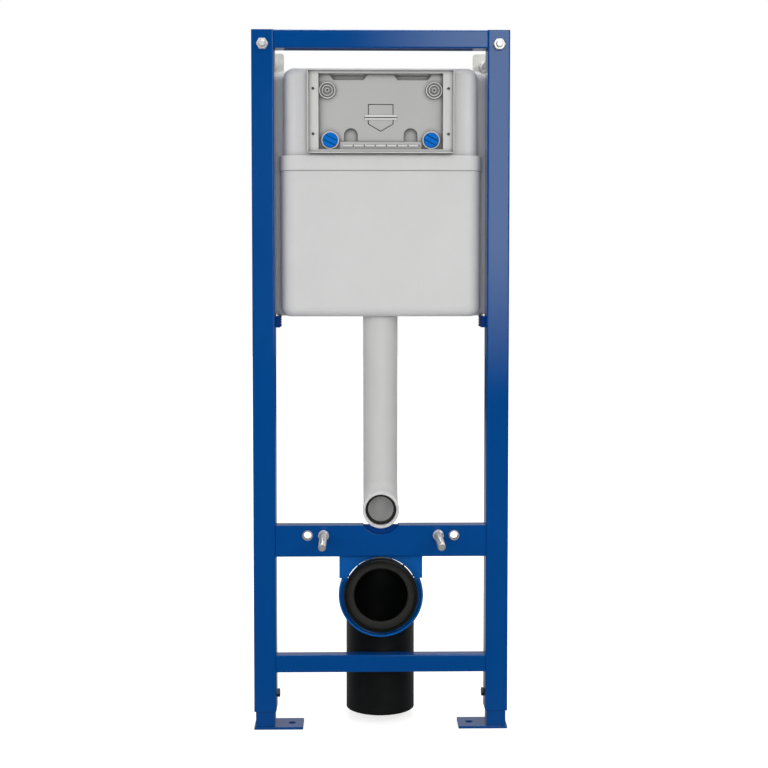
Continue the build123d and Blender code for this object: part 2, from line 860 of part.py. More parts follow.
def make_drain_bend():
    """Drain bend with a rounded socket at the front and a plain spigot below."""
    socket_front = front + drain_mouth_front
    with BuildPart() as bend:
        bent_bar(
            drain_axis_depth,
            drain_bend_radius,
            drain_bottom,
            drain_height,
            drain_mouth_front,
            drain_radius,
            Mode.ADD,
        )
        with BuildSketch(upright(drain_mouth_front)):
            with Locations((0, drain_height)):
                Circle(drain_collar / 2)
        extrude(amount=-drain_collar_length)
        front_edges = bend.edges().filter_by_position(Axis.Y, socket_front, socket_front)
        fillet(front_edges.sort_by(SortBy.RADIUS)[-1], drain_collar_edge)
        bent_bar(
            drain_axis_depth,
            drain_bend_radius,
            drain_bottom,
            drain_height,
            drain_mouth_front,
            drain_radius - drain_wall,
            Mode.SUBTRACT,
        )
        with BuildSketch(upright(drain_mouth_front)):
            with Locations((0, drain_height)):
                Circle(drain_socket)
        extrude(amount=-drain_socket_depth, mode=Mode.SUBTRACT)
    finish(bend, "drain_bend")


def make_drain_holder():
    """Plate under the fixing plate with a round cut-out whose teeth grip the drain bend."""
    grip_radius = drain_radius + drain_grip_clearance
    holder_bottom = drain_height + holder_bottom_rise
    tooth_length = holder_cutout - grip_radius + tooth_root
    with BuildPart() as holder:
        with BuildSketch(upright(holder_front)):
            with Locations((0, (holder_bottom + plate_bottom) / 2)):
                Rectangle(holder_width, plate_bottom - holder_bottom)
            with Locations((0, drain_height)):
                Circle(holder_cutout, mode=Mode.SUBTRACT)
                for index in range(teeth_per_side):
                    for side in sides.values():
                        with PolarLocations(
                            grip_radius + tooth_length / 2,
                            1,
                            start_angle=90 + side * (tooth_first + index * tooth_step),
                        ):
                            Rectangle(tooth_length, tooth_width)
        extrude(amount=-holder_sheet)
    finish(holder, "drain_holder")


def make_drain_clamp():
    """Half ring with a turned edge that closes the drain holder from below."""
    clamp_top = drain_height + holder_bottom_rise
    cut_size = 2 * clamp_outer_radius
    with BuildPart() as clamp:
        with BuildSketch(upright(holder_front)):
            with Locations((0, drain_height)):
                Circle(clamp_outer_radius)
                Circle(drain_radius + drain_grip_clearance, mode=Mode.SUBTRACT)
            with Locations((0, clamp_top)):
                Rectangle(cut_size, cut_size, align=(Align.CENTER, Align.MIN), mode=Mode.SUBTRACT)
        extrude(amount=-holder_sheet)
        with BuildSketch(upright(holder_front)):
            with Locations((0, drain_height)):
                Circle(clamp_outer_radius)
                Circle(clamp_outer_radius - clamp_flange, mode=Mode.SUBTRACT)
            with Locations((0, clamp_top - clamp_gap)):
                Rectangle(cut_size, cut_size, align=(Align.CENTER, Align.MIN), mode=Mode.SUBTRACT)
        extrude(amount=clamp_flange_depth)
    finish(clamp, "drain_clamp")


for name, side in sides.items():
    make_foot(name, side)
    make_leg(name, side)
    make_post(name, side)
    make_clamp_bolt(name, side)
    make_wall_rod(name, side)
    make_rod_nuts(name, side)
    make_wall_bracket(name, side)
    make_stud(name, side)
    make_stud_nuts(name, side)
    make_insert(name, side)
    make_boss(name, side)
    make_knob(name, side)
    make_tank_clip(name, side)

make_bar("top_bar", top_bar_setback, top_bar_depth, frame_height - top_bar_height, top_bar_height)
make_bar("lower_bar", 0, lower_bar_depth, lower_bar_bottom, lower_bar_height)
make_fixing_plate()
make_flush_saddle()
make_tank_tub()
make_tank_hood()
make_service_frame()
make_cover_plate()
make_flush_pipe()
make_seal(
    "flush_seal",
    flush_height,
    flush_mouth_front + flush_seal_inset,
    flush_bore - seal_clearance,
    flush_seal_bore / 2,
    flush_seal_length,
)
make_drain_bend()
make_seal(
    "drain_seal",
    drain_height,
    drain_mouth_front + drain_socket_depth - drain_seal_length,
    drain_socket - seal_clearance,
    drain_seal_bore / 2,
    drain_seal_length,
)
make_drain_holder()
make_drain_clamp()
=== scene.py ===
import logging
from dataclasses import dataclass, field
from enum import Enum
from math import pi, radians, tan

import bpy
import numpy as np
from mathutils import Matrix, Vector

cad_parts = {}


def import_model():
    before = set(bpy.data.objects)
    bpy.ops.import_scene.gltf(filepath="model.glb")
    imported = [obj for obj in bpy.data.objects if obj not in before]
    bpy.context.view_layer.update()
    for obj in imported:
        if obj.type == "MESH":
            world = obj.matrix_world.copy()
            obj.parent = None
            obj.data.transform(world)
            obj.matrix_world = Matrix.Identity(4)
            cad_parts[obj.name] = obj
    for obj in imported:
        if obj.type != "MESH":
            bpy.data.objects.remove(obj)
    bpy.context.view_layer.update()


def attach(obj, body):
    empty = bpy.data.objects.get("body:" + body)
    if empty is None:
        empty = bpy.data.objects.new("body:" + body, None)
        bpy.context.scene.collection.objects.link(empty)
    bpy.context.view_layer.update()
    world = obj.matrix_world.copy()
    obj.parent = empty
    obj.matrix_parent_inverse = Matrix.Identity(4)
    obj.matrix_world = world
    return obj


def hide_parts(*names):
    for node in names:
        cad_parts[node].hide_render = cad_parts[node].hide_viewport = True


# Wall hung toilet frame with a concealed cistern. Metres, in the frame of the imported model: +X to the
# right as seen from the front, +Y from the front of the frame towards the wall, +Z up.

log = logging.getLogger("toilet_frame")

MM = 0.001
CENTRE_LINE = 0.141
FRONT_PLANE = -0.0225

Amount = float | np.ndarray
Span = tuple[float, float]
Triple = tuple[float, float, float]
Place = Triple
Colour = Triple
Outline = list[tuple[float, float]]
Node = bpy.types.Node
Socket = bpy.types.NodeSocket
Look = tuple[Socket, Socket, Socket]
Tree = bpy.types.NodeTree
Body = bpy.types.Object


class Side(Enum):
    """Side of the frame as seen from the front, with the sign of its distance off the centre line."""

    LEFT = -1
    RIGHT = 1

    @property
    def word(self) -> str:
        """Start of the names of the nodes on this side."""
        return self.name.lower()


class Facing(Enum):
    """Direction in which a turned piece runs."""

    FRONT = (0.0, -1.0, 0.0)
    WALL = (0.0, 1.0, 0.0)
    LEFT = (-1.0, 0.0, 0.0)
    RIGHT = (1.0, 0.0, 0.0)


def spot(off_centre: Amount, depth: Amount, height: Amount) -> np.ndarray:
    """One place in the model's frame, or a grid of them where an amount is an array.

    Args:
        off_centre: Millimetres to the right of the centre line.
        depth: Millimetres behind the front plane of the posts.
        height: Millimetres above the floor.

    Returns:
        The places in metres, with x, y and z in the last direction.
    """
    x = CENTRE_LINE + np.asarray(off_centre) * MM
    y = FRONT_PLANE + np.asarray(depth) * MM
    z = np.asarray(height) * MM
    return np.stack(np.broadcast_arrays(x, y, z), axis=-1)


# Shapes


def lattice_faces(rows: int, columns: int, ring: bool, offset: int) -> tuple[np.ndarray, int]:
    """Quads between neighbouring rows of a grid whose second direction closes on itself.

    Args:
        rows: Number of rows of the grid.
        columns: Number of points in each row.
        ring: Whether the last row is joined to the first.
        offset: Index of the grid's first point.

    Returns:
        The quads and the number of points in the grid.
    """
    bands = rows if ring else rows - 1
    here = np.arange(bands)[:, None] * columns + np.arange(columns)[None, :]
    beside = np.arange(bands)[:, None] * columns + (np.arange(columns)[None, :] + 1) % columns
    below = ((np.arange(bands)[:, None] + 1) % rows) * columns
    under = below + np.arange(columns)[None, :]
    under_beside = below + (np.arange(columns)[None, :] + 1) % columns
    quads = np.stack([here, beside, under_beside, under], axis=-1).reshape(-1, 4) + offset
    return quads, rows * columns


def closed_mesh(name: str, shells: list[np.ndarray], smooth_angle: float = 35.0) -> Body:
    """Mesh of one or more closed shells, each a grid of points.

    A shell of shape (rows, columns, 3) closes on itself in its second direction. When its first and last
    rows lie apart they are closed by fans round their mean points; when they are neighbours in space, as
    round a nut, the grid closes in its first direction too. Each shell is turned so that its faces point
    outwards, which its signed volume, a sixth of the sum of the triple products of its corners, tells.

    Args:
        name: Name of the piece.
        shells: Grids of points in metres.
        smooth_angle: Angle in degrees above which an edge stays sharp.

    Returns:
        The new object, at the origin.
    """
    points: list[np.ndarray] = []
    faces: list[list[int]] = []
    offset = 0
    for shell in shells:
        rows, columns = shell.shape[:2]
        ring = bool(np.allclose(shell[0], shell[-1]))
        grid = shell[:-1] if ring else shell
        quads, count = lattice_faces(grid.shape[0], columns, ring, offset)
        vertices = grid.reshape(-1, 3)
        fans = np.zeros((0, 3), dtype=int)
        if not ring:
            ends = np.stack([grid[0].mean(axis=0), grid[-1].mean(axis=0)])
            around = np.arange(columns)
            beside = (around + 1) % columns
            last = offset + (grid.shape[0] - 1) * columns
            first_pole = np.full(columns, offset + count)
            last_pole = first_pole + 1
            fans = np.concatenate(
                [
                    np.stack([first_pole, offset + beside, offset + around], axis=-1),
                    np.stack([last_pole, last + around, last + beside], axis=-1),
                ]
            )
            vertices = np.concatenate([vertices, ends])
        corners = np.concatenate([quads[:, [0, 1, 2]], quads[:, [0, 2, 3]], fans]) - offset
        a, b, c = (vertices[corners[:, k]] - vertices.mean(axis=0) for k in range(3))
        if np.einsum("ij,ij->i", a, np.cross(b, c)).sum() < 0:
            quads, fans = quads[:, ::-1], fans[:, ::-1]
        faces += quads.tolist() + fans.tolist()
        points.append(vertices)
        offset += len(vertices)
    mesh = bpy.data.meshes.new(name)
    mesh.from_pydata(np.concatenate(points), [], faces)
    mesh.shade_smooth()
    mesh.set_sharp_from_angle(angle=radians(smooth_angle))
    mesh.update()
    piece = bpy.data.objects.new(name, mesh)
    bpy.context.scene.collection.objects.link(piece)
    return piece


def turned(origin: np.ndarray, facing: Facing, radius: np.ndarray, along: np.ndarray) -> np.ndarray:
    """Grid round an axis: each point is the origin, plus its distance along the axis, plus its radius
    times the cosine and the sine of its angle on the two directions across the axis.

    Args:
        origin: Start of the axis in metres.
        facing: Direction of the axis.
        radius: Radii in millimetres, one row for each step of the outline, one column for each angle.
        along: Distances along the axis in millimetres, of the same shape or one for each row.

    Returns:
        The grid of points in metres.
    """
    axis = np.array(facing.value)
    across = np.cross(axis, [0.0, 0.0, 1.0])
    upwards = np.array([0.0, 0.0, 1.0])
    angle = np.linspace(0, 2 * pi, radius.shape[1], endpoint=False)
    distance = along if along.ndim == 2 else np.repeat(along[:, None], radius.shape[1], axis=1)
    rim = radius[..., None] * (np.cos(angle)[:, None] * across + np.sin(angle)[:, None] * upwards)
    return origin + MM * (rim + distance[..., None] * axis)


@dataclass(frozen=True)
class Thread:
    """Metric thread as a surface of the angle and the distance along its axis."""

    size: float
    pitch: float
    steps: int = 7
    around: int = 26
    ridge: float = 0.55
    steepness: float = 1.6
    root: float = 0.3

    def outline(
        self, length: float, start_chamfer: float, end_chamfer: float
    ) -> tuple[np.ndarray, np.ndarray]:
        """Radii of a threaded rod.

        The radius is the core plus a ridge. The ridge is a triangle wave of the distance over the pitch
        less the angle over a full turn, clipped at its crest and its root. Near each end the radius is
        also held under a cone, which makes the chamfer.

        Args:
            length: Length of the rod in millimetres.
            start_chamfer: Height of the chamfer at the start.
            end_chamfer: Height of the chamfer at the end.

        Returns:
            The radii and the distances along the axis, each as rows by angles.
        """
        rows = int(length / self.pitch * self.steps)
        along = np.linspace(0, length, rows)[:, None]
        angle = np.linspace(0, 1, self.around, endpoint=False)[None, :]
        phase = (along / self.pitch - angle) % 1.0
        wave = np.clip(self.steepness * (1 - np.abs(2 * phase - 1)) - self.root, 0, 1)
        depth = self.ridge * self.pitch
        radius = self.size / 2 - depth + depth * wave
        lead_in = self.size / 2 - start_chamfer + along
        lead_out = self.size / 2 - end_chamfer + (length - along)
        return np.minimum(radius, np.minimum(lead_in, lead_out)), np.repeat(along, self.around, axis=1)


@dataclass(frozen=True)
class Hexagon:
    """Hexagonal nut or bolt head, its corners cut by a cone on each face that stands free."""

    flats: float
    height: float
    hole: float = 0.0
    columns: int = 72
    corner_cut: float = 0.97
    hole_lead: float = 0.5
    pole: float = 0.01
    ease: float = 0.2
    flange_ease: float = 0.5
    flange_margin: float = 0.3
    flange_side: Span = (0.4, 1.1)
    flange_slope: Span = (1.6, 2.4)
    flange_top: float = 3.0

    def edge(self) -> np.ndarray:
        """Distance of the outline from the axis: half the flats over the cosine of the angle to the
        middle of the nearest flat."""
        angle = np.linspace(0, 2 * pi, self.columns, endpoint=False)
        return self.flats / 2 / np.cos(angle % (pi / 3) - pi / 6)

    def shell(self, origin: np.ndarray, facing: Facing, flange: float = 0.0) -> np.ndarray:
        """Closed surface of the nut.

        Rows run from the hole over the rear face, up the flats and back over the front face. The cone
        takes from each corner a height of its overhang times the tangent of 30 degrees.

        Args:
            origin: Middle of the rear face in metres.
            facing: Direction from the rear face to the front face.
            flange: Diameter of a flange at the rear face, or none.

        Returns:
            The grid of points in metres.
        """
        edge = self.edge()
        flat = np.ones(self.columns)
        cut = self.flats / 2 * self.corner_cut
        drop = (edge - cut) * tan(radians(30))
        inner = max(self.hole / 2, self.pole)
        lead = self.hole_lead if self.hole else 0.0
        rows = [
            (inner * flat, (lead + self.ease) * flat),
            ((inner + lead) * flat, 0 * flat),
        ]
        if flange:
            rim = flange / 2
            low, high = self.flange_side
            shoulder, foot = self.flange_slope
            rows += [
                ((rim - self.flange_ease) * flat, 0 * flat),
                (rim * flat, low * flat),
                (rim * flat, high * flat),
                ((rim - self.flange_ease) * flat, shoulder * flat),
                (np.minimum(edge + self.ease, rim - self.flange_margin), foot * flat),
                (edge, self.flange_top * flat),
            ]
        else:
            rows += [(cut * flat, 0 * flat), (edge, drop)]
        rows += [
            (edge, self.height - drop),
            (cut * flat, self.height * flat),
            ((inner + lead) * flat, self.height * flat),
            (inner * flat, (self.height - lead - self.ease) * flat),
        ]
        if self.hole:
            rows.append(rows[0])
        radius = np.array([row[0] for row in rows])
        along = np.array([row[1] for row in rows])
        return turned(origin, facing, radius, along)


def turned_profile(origin: np.ndarray, facing: Facing, outline: Outline, columns: int = 64) -> np.ndarray:
    """Closed ring turned from an outline of (radius, distance) pairs, which ends where it starts.

    Args:
        origin: Start of the axis in metres.
        facing: Direction of the axis.
        outline: Corners of the section in millimetres.
        columns: Number of steps round the axis.

    Returns:
        The grid of points in metres.
    """
    section = np.array(outline + outline[:1])
    radius = np.repeat(section[:, :1], columns, axis=1)
    return turned(origin, facing, radius, section[:, 1])


def flat_ring(
    inner: float, outer: float, proud: float, lift: float = 0.0, sunk: float = 0.02
) -> Outline:
    """Section of a flat ring with its front edges eased, sunk a little into what it lies on.

    Args:
        inner: Inner radius in millimetres.
        outer: Outer radius.
        proud: Height of the ring's front.
        lift: Height of what the ring lies on.
        sunk: Depth by which it is sunk.

    Returns:
        The corners of the section.
    """
    ease = min(proud, outer - inner) / 3
    back, side, front = lift - sunk, lift + proud - ease, lift + proud
    return [
        (inner, back), (inner, side), (inner + ease, front),
        (outer - ease, front), (outer, side), (outer, back),
    ]


def box_shell(across: Span, depth: Span, height: Span, ease: float = 0.15) -> np.ndarray:
    """Closed block between pairs of limits, with the edges of its front and back eased.

    Its four rows are rectangles from front to back, of which the first and the last are drawn in by the
    ease all round.

    Args:
        across: Limits to the left and right of the centre line in millimetres.
        depth: Limits behind the front plane.
        height: Limits above the floor.
        ease: Width of the eased edges.

    Returns:
        The grid of points in metres.
    """
    near, far = depth
    inset = np.array([ease, 0.0, 0.0, ease])[:, None]
    place = np.array([near, near + ease, far - ease, far])[:, None]
    x = np.where([True, False, False, True], across[0] + inset, across[1] - inset)
    z = np.where([True, True, False, False], height[0] + inset, height[1] - inset)
    return spot(x, place, z)


@dataclass(frozen=True)
class WeldBead:
    """Fillet weld with overlapping ripples along a straight joint."""

    radius: float = 1.5
    ripple: float = 2.2
    steps: int = 6
    sides: int = 14
    least_size: float = 0.02
    bluntness: int = 9
    askew: Triple = (0.31, 0.77, 0.55)

    def shell(self, start: np.ndarray, end: np.ndarray) -> np.ndarray:
        """Closed bead between two places.

        The section is a circle. Its radius is the bead's, times one less a sixth of the absolute cosine
        of the distance over the ripple, times a taper that falls to a small value at both ends. A
        direction that no joint runs in gives the first of the two directions across the bead.

        Args:
            start: Start of the joint in metres.
            end: End of the joint in metres.

        Returns:
            The grid of points in metres.
        """
        length = float(np.linalg.norm(end - start)) / MM
        rows = max(int(length / self.ripple * self.steps), 8)
        share = np.linspace(0, 1, rows)
        axis = (end - start) / np.linalg.norm(end - start)
        across = np.cross(axis, self.askew)
        across /= np.linalg.norm(across)
        other = np.cross(axis, across)
        taper = np.sqrt(np.clip(1 - np.abs(2 * share - 1) ** self.bluntness, self.least_size, 1))
        swell = 1 - np.abs(np.cos(pi * share * length / self.ripple)) / 6
        angle = np.linspace(0, 2 * pi, self.sides, endpoint=False)
        rim = np.cos(angle)[:, None] * across + np.sin(angle)[:, None] * other
        line = start + share[:, None] * (end - start)
        return line[:, None, :] + MM * self.radius * (taper * swell)[:, None, None] * rim


# Finishes


class Graph:
    """One node tree, with short ways to add nodes and link them."""

    def __init__(self, tree: Tree) -> None:
        """Keep the tree and empty it."""
        self.tree = tree
        tree.nodes.clear()

    def node(self, kind: str, **settings: object) -> Node:
        """Add a node.

        Args:
            kind: Blender's name for the node's type.
            settings: Properties of the node, set as they are.

        Returns:
            The new node.
        """
        made = self.tree.nodes.new(kind)
        for key, value in settings.items():
            setattr(made, key, value)
        made.location = (180 * (len(self.tree.nodes) % 9), -260 * (len(self.tree.nodes) // 9))
        return made

    def set(self, node: Node, **values: object) -> Node:
        """Set input sockets by name, with underscores for spaces, and give the node back."""
        for key, value in values.items():
            node.inputs[key.replace("_", " ")].default_value = value
        return node

    def effect(self, group: Tree, **values: object) -> Node:
        """Place a shared group and set its inputs by name."""
        return self.set(self.node("ShaderNodeGroup", node_tree=group), **values)

    def link(self, source: Socket, target: Socket) -> None:
        """Link an output to an input."""
        self.tree.links.new(source, target)

    def feed(self, source: object, target: Socket) -> None:
        """Link a socket to an input, or write a number or a colour into the input."""
        if isinstance(source, Socket):
            self.link(source, target)
        else:
            target.default_value = source

    def math(self, operation: str, first: object, second: object) -> Socket:
        """Add a Math node whose operands are sockets or numbers.

        Args:
            operation: Name of the operation.
            first: First operand.
            second: Second operand.

        Returns:
            The output socket.
        """
        made = self.node("ShaderNodeMath", operation=operation)
        self.feed(first, made.inputs[0])
        self.feed(second, made.inputs[1])
        return made.outputs[0]

    def place(self) -> Socket:
        """Add the place on the object, in metres in the object's own frame."""
        return self.node("ShaderNodeTexCoord").outputs["Object"]

    def split(self, vector: Socket) -> bpy.types.NodeOutputs:
        """Add the parts X, Y and Z of a vector."""
        made = self.node("ShaderNodeSeparateXYZ")
        self.link(vector, made.inputs[0])
        return made.outputs

    def rays(self) -> tuple[Socket, Socket]:
        """Add what is 1 for rays of the eye, straight or let through, and what is 1 for reflected ones."""
        kinds = self.node("ShaderNodeLightPath").outputs
        seen = self.math("MAXIMUM", kinds["Is Camera Ray"], kinds["Is Transmission Ray"])
        return seen, kinds["Is Glossy Ray"]

    def noise(self, coordinates: Socket, scale: object, detail: float, roughness: float = 0.5) -> Socket:
        """Add noise and give its value.

        Args:
            coordinates: Where the noise is read.
            scale: Number or socket, waves to a metre.
            detail: Number of finer layers.
            roughness: Share of the finer layers.

        Returns:
            The value, between 0 and 1.
        """
        made = self.set(self.node("ShaderNodeTexNoise"), Detail=detail, Roughness=roughness)
        self.link(coordinates, made.inputs["Vector"])
        self.feed(scale, made.inputs["Scale"])
        return made.outputs["Fac"]

    def stretch(
        self, low: float, high: float, value: Socket, to_low: object = 0.0, to_high: object = 1.0
    ) -> Socket:
        """Map a value from one range to another and hold it there.

        Args:
            low: Value that becomes to_low.
            high: Value that becomes to_high.
            value: Socket to map.
            to_low: Number or socket.
            to_high: Number or socket.

        Returns:
            The output socket.
        """
        made = self.set(self.node("ShaderNodeMapRange", clamp=True), From_Min=low, From_Max=high)
        self.link(value, made.inputs["Value"])
        self.feed(to_low, made.inputs["To Min"])
        self.feed(to_high, made.inputs["To Max"])
        return made.outputs["Result"]

    def blend(self, factor: Socket, first: object, second: object) -> Socket:
        """Mix two colours, each a socket or red, green, blue and alpha.

        Args:
            factor: Share of the second colour.
            first: First colour.
            second: Second colour.

        Returns:
            The mixed colour.
        """
        made = self.node("ShaderNodeMix", data_type="RGBA")
        self.link(factor, made.inputs["Factor"])
        for name, colour in (("A", first), ("B", second)):
            self.feed(colour, next(s for s in made.inputs if s.name == name and s.type == "RGBA"))
        return next(s for s in made.outputs if s.type == "RGBA")


class GroupGraph(Graph):
    """Graph of a new shared group, with the sockets that it is given and those of its result."""

    def __init__(self, name: str, inputs: dict[str, object], outputs: tuple[str, ...]) -> None:
        """Make the group and its sockets.

        Args:
            name: Name of the group.
            inputs: Default of each input: a number, or a colour as four numbers.
            outputs: Names of the outputs, which are numbers but for the one named Colour.
        """
        tree = bpy.data.node_groups.new(name, "ShaderNodeTree")
        for label, default in inputs.items():
            kind = "NodeSocketColor" if isinstance(default, tuple) else "NodeSocketFloat"
            tree.interface.new_socket(name=label, in_out="INPUT", socket_type=kind).default_value = default
        for label in outputs:
            kind = "NodeSocketColor" if label == "Colour" else "NodeSocketFloat"
            tree.interface.new_socket(name=label, in_out="OUTPUT", socket_type=kind)
        super().__init__(tree)
        self.given = self.node("NodeGroupInput").outputs
        self.result = self.node("NodeGroupOutput").inputs


def skin_group(
    patch_span: Span = (0.3, 0.7), grain_span: Span = (0.35, 0.65), speck: Span = (0.985, 1.015)
) -> Tree:
    """Plain coat or moulding: a colour that drifts over the piece, with fine grain in its height and
    broad patches in its roughness."""
    graph = GroupGraph(
        "plain_skin",
        {"Base": (0.5, 0.5, 0.5, 1), "Drift": 0.05, "Grain Scale": 900.0, "Patch Scale": 9.0,
         "Roughness": 0.4, "Roughness Drift": 0.06},
        ("Colour", "Roughness", "Height"),
    )
    given, result = graph.given, graph.result
    where = graph.place()
    patches = graph.noise(where, given["Patch Scale"], detail=3.0, roughness=0.55)
    grain = graph.noise(where, given["Grain Scale"], detail=2.0, roughness=0.6)
    lower = graph.math("SUBTRACT", 1.0, given["Drift"])
    upper = graph.math("ADD", 1.0, given["Drift"])
    level = graph.stretch(*patch_span, patches, lower, upper)
    level = graph.math("MULTIPLY", level, graph.stretch(*grain_span, grain, *speck))
    shade = graph.node("ShaderNodeVectorMath", operation="SCALE")
    graph.link(given["Base"], shade.inputs[0])
    graph.link(level, shade.inputs["Scale"])
    graph.link(shade.outputs[0], result["Colour"])
    swing = graph.math("SUBTRACT", patches, 0.5)
    spread = graph.math("MULTIPLY", swing, given["Roughness Drift"])
    roughness = graph.math("ADD", graph.math("MULTIPLY", spread, 2.0), given["Roughness"])
    graph.link(roughness, result["Roughness"])
    graph.link(grain, result["Height"])
    return graph.tree


def drawn_group(broad_share: float = 0.11, shade_span: Span = (0.3, 0.7)) -> Tree:
    """Fine lines along one direction, as drawing, extruding or brushing leaves them."""
    inputs = {"Across Scale": 2500.0, "Along X": 1.0, "Along Y": 1.0, "Along Z": 0.02}
    graph = GroupGraph("drawn_lines", inputs, ("Lines", "Shade"))
    given, result = graph.given, graph.result
    where = graph.place()
    squeeze = graph.node("ShaderNodeCombineXYZ")
    for axis in "XYZ":
        graph.link(given["Along " + axis], squeeze.inputs[axis])
    scaled = graph.node("ShaderNodeVectorMath", operation="MULTIPLY")
    graph.link(where, scaled.inputs[0])
    graph.link(squeeze.outputs[0], scaled.inputs[1])
    fine = graph.noise(scaled.outputs[0], given["Across Scale"], detail=2.0, roughness=0.6)
    broad_scale = graph.math("MULTIPLY", given["Across Scale"], broad_share)
    coarse = graph.noise(scaled.outputs[0], broad_scale, detail=3.0, roughness=0.6)
    graph.link(fine, result["Lines"])
    graph.link(graph.stretch(*shade_span, coarse), result["Shade"])
    return graph.tree


def beads_group(dome_span: Span = (0.0, 0.22)) -> Tree:
    """Faint pattern of foamed beads pressed together, as on a cistern's insulating jacket."""
    graph = GroupGraph("foam_beads", {"Bead Scale": 330.0}, ("Height", "Seam"))
    given, result = graph.given, graph.result
    where = graph.place()
    cells = graph.node("ShaderNodeTexVoronoi", feature="DISTANCE_TO_EDGE")
    graph.link(where, cells.inputs["Vector"])
    graph.link(given["Bead Scale"], cells.inputs["Scale"])
    dome = graph.stretch(*dome_span, cells.outputs["Distance"])
    graph.link(dome, result["Height"])
    graph.link(graph.math("SUBTRACT", 1.0, dome), result["Seam"])
    return graph.tree


def spangle_group(warp_scale: float = 60.0, warp_reach: float = 0.006, pit_scale: float = 1400.0) -> Tree:
    """Zinc crystals: flat cells that differ a little in shade and gloss."""
    graph = GroupGraph("zinc_spangle", {"Crystal Scale": 160.0}, ("Shade", "Gloss", "Height"))
    given, result = graph.given, graph.result
    where = graph.place()
    warp = graph.noise(where, warp_scale, detail=2.0)
    moved = graph.node("ShaderNodeVectorMath", operation="ADD")
    graph.link(where, moved.inputs[0])
    graph.link(graph.math("MULTIPLY", warp, warp_reach), moved.inputs[1])
    cells = graph.node("ShaderNodeTexVoronoi", feature="F1")
    graph.link(moved.outputs[0], cells.inputs["Vector"])
    graph.link(given["Crystal Scale"], cells.inputs["Scale"])
    parts = graph.node("ShaderNodeSeparateColor")
    graph.link(cells.outputs["Color"], parts.inputs[0])
    graph.link(parts.outputs[0], result["Shade"])
    graph.link(parts.outputs[1], result["Gloss"])
    graph.link(graph.noise(where, pit_scale, detail=2.0), result["Height"])
    return graph.tree


def dust_group(
    upward_span: Span = (0.2, 0.95), upright_share: float = 0.15, noise_span: Span = (0.35, 0.75)
) -> Tree:
    """Mask of thin dust: more on faces that look up, broken up by noise."""
    graph = GroupGraph("settled_dust", {"Amount": 0.12, "Scale": 45.0}, ("Mask",))
    given, result = graph.given, graph.result
    where = graph.place()
    normal = graph.split(graph.node("ShaderNodeNewGeometry").outputs["Normal"])
    upward = graph.stretch(*upward_span, normal["Z"], upright_share, 1.0)
    patches = graph.noise(where, given["Scale"], detail=5.0, roughness=0.65)
    broken = graph.stretch(*noise_span, patches)
    amount = graph.math("MULTIPLY", graph.math("MULTIPLY", upward, broken), given["Amount"])
    graph.link(amount, result["Mask"])
    return graph.tree


def crevice_group(open_span: Span = (0.35, 0.95)) -> Tree:
    """Mask of painted shade in grooves, corners and gaps, where faces close by leave little of the half
    sphere open; finishes darken their colour by it to stand in for the shade there.
    """
    graph = GroupGraph("crevice_shade", {"Reach": 0.006, "Amount": 0.5}, ("Mask",))
    given, result = graph.given, graph.result
    open_share = graph.node("ShaderNodeAmbientOcclusion", samples=8)
    graph.link(given["Reach"], open_share.inputs["Distance"])
    closed = graph.stretch(*open_span, open_share.outputs["AO"], 1.0, 0.0)
    graph.link(graph.math("MULTIPLY", closed, given["Amount"]), result["Mask"])
    return graph.tree


@dataclass(frozen=True)
class Effects:
    """Shared shader groups, each made once and used by several finishes."""

    skin: Tree = field(default_factory=skin_group)
    drawn: Tree = field(default_factory=drawn_group)
    beads: Tree = field(default_factory=beads_group)
    spangle: Tree = field(default_factory=spangle_group)
    dust: Tree = field(default_factory=dust_group)
    crevice: Tree = field(default_factory=crevice_group)


